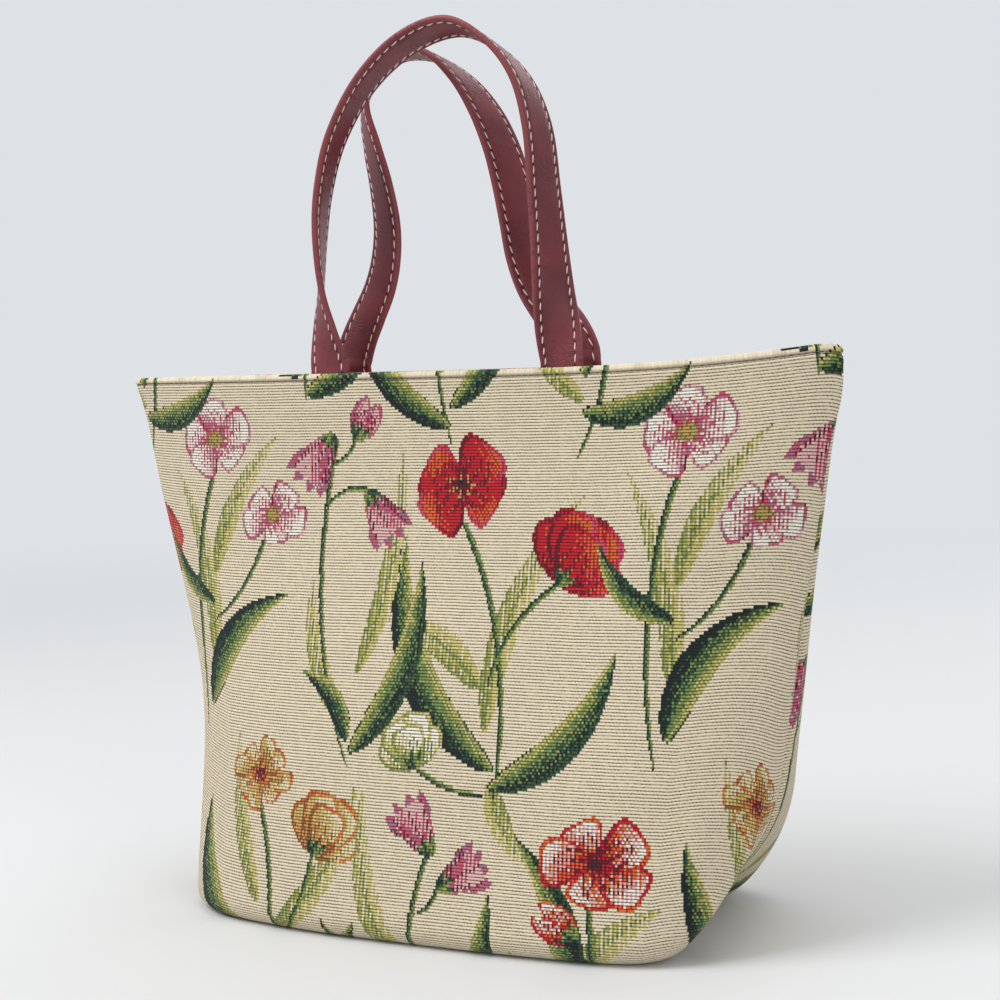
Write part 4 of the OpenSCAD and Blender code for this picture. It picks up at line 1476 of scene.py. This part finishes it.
class TOTE_OT_panels(bpy.types.Operator):
    """Weaves the front and back panels and sews them into the bag"""

    bl_idname = "tote.panels"
    bl_label = "Weave the Panels"

    def execute(self, context):
        scene = context.scene
        form = made_form()
        panel = PanelCloth(form, scene.tote_cloth)
        loom = weave_design(yarn_colours(scene.tote_colours), panel.thread, panel.rib)
        material = kept_material("Woven tapestry", tapestry_material)
        for side in (FRONT, BACK):
            weave_panel(form, scene.tote_cloth, loom, side, material, PANEL_OFFSETS[side])
        return {"FINISHED"}


class TOTE_OT_facings(bpy.types.Operator):
    """Weaves the two facings inside the rim"""

    bl_idname = "tote.facings"
    bl_label = "Weave the Facings"

    def execute(self, context):
        cloth = context.scene.tote_cloth
        handles = context.scene.tote_handles
        form = made_form()
        loom = weave_design(yarn_colours(context.scene.tote_colours), cloth.thread, cloth.rib)
        material = kept_material("Woven tapestry", tapestry_material)
        for side in (FRONT, BACK):
            weave_facing(form, cloth, handles, loom, side, material, FACING_OFFSETS[side])
        return {"FINISHED"}


class TOTE_OT_linings(bpy.types.Operator):
    """Sews the two halves of the lining"""

    bl_idname = "tote.linings"
    bl_label = "Sew the Linings"

    def execute(self, context):
        scene = context.scene
        form = made_form()
        material = kept_material("Cotton lining", lining_material, scene.tote_colours)
        for side in (FRONT, BACK):
            sew_lining(form, scene.tote_cloth, side, material)
        return {"FINISHED"}


class TOTE_OT_handles(bpy.types.Operator):
    """Cuts the two strap handles, bends them along their routes and stitches them"""

    bl_idname = "tote.handles"
    bl_label = "Cut the Handles"

    def execute(self, context):
        scene = context.scene
        handles = scene.tote_handles
        colours = scene.tote_colours
        form = made_form()
        leather = kept_material("Burgundy leather", strap_material, colours, handles)
        thread = kept_material("Pale thread", thread_material, "Pale thread", colours.thread)
        routes = ((FRONT, FRONT_ROUTE, handles.front_rise), (BACK, BACK_ROUTE, handles.back_rise))
        for side, route, rise in routes:
            name = SIDE_NAMES[side]
            path = StrapPath(form, scene.tote_cloth, handles, side, route, rise)
            cut_strap(f"strap_{name}", path, handles, leather, f"{name}_handle")
            stitch_strap(f"strap_stitches_{name}", path, handles, thread)
        return {"FINISHED"}


class TOTE_OT_rim_stitches(bpy.types.Operator):
    """Topstitches the rim, outside on the panels and inside on the facings"""

    bl_idname = "tote.rim_stitches"
    bl_label = "Topstitch the Rim"

    def execute(self, context):
        scene = context.scene
        cloth = scene.tote_cloth
        handles = scene.tote_handles
        form = made_form()
        panel = PanelCloth(form, cloth)
        # The rim thread's colour is partly its own cream and partly painted shade of the groove.
        colour = scene.tote_colours.shaded_rim_thread
        thread = kept_material("Cream thread", thread_material, "Cream thread", colour)
        for side in (FRONT, BACK):
            name = SIDE_NAMES[side]
            rows = {
                "rim": lambda across, down: panel.place(side, across, down),
                "facing": lambda across, down: place_facing(form, cloth, handles, side, across, down),
            }
            for row, place in rows.items():
                stitch_rim(f"{row}_stitches_{name}", place, form.width, cloth.topstitch, thread)
        return {"FINISHED"}


class TOTE_PT_sidebar(bpy.types.Panel):
    """Sizes, colours and steps of the tote bag"""

    bl_idname = "TOTE_PT_sidebar"
    bl_label = "Tote Bag"
    bl_space_type = "VIEW_3D"
    bl_region_type = "UI"
    bl_category = "Tote Bag"

    def draw(self, context):
        for group in SETTINGS:
            box = self.layout.box()
            box.label(text=SETTINGS[group].__doc__)
            for name in SETTINGS[group].__annotations__:
                box.prop(getattr(context.scene, group), name)
        for operator in OPERATORS:
            self.layout.operator(operator.bl_idname)


SETTINGS = {
    "tote_bag": TOTE_PG_bag,
    "tote_cloth": TOTE_PG_cloth,
    "tote_handles": TOTE_PG_handles,
    "tote_colours": TOTE_PG_colours,
}
OPERATORS = (
    TOTE_OT_stage,
    TOTE_OT_panels,
    TOTE_OT_facings,
    TOTE_OT_linings,
    TOTE_OT_handles,
    TOTE_OT_rim_stitches,
)


def register():
    for name, group in SETTINGS.items():
        bpy.utils.register_class(group)
        setattr(bpy.types.Scene, name, bpy.props.PointerProperty(type=group))
    for operator in OPERATORS:
        bpy.utils.register_class(operator)
    bpy.utils.register_class(TOTE_PT_sidebar)


def unregister():
    bpy.utils.unregister_class(TOTE_PT_sidebar)
    for operator in reversed(OPERATORS):
        bpy.utils.unregister_class(operator)
    for name, group in SETTINGS.items():
        delattr(bpy.types.Scene, name)
        bpy.utils.unregister_class(group)


def main():
    register()
    bpy.ops.tote.stage()
    bpy.ops.tote.panels()
    bpy.ops.tote.facings()
    bpy.ops.tote.linings()
    bpy.ops.tote.handles()
    bpy.ops.tote.rim_stitches()


if __name__ == "__main__":
    main()
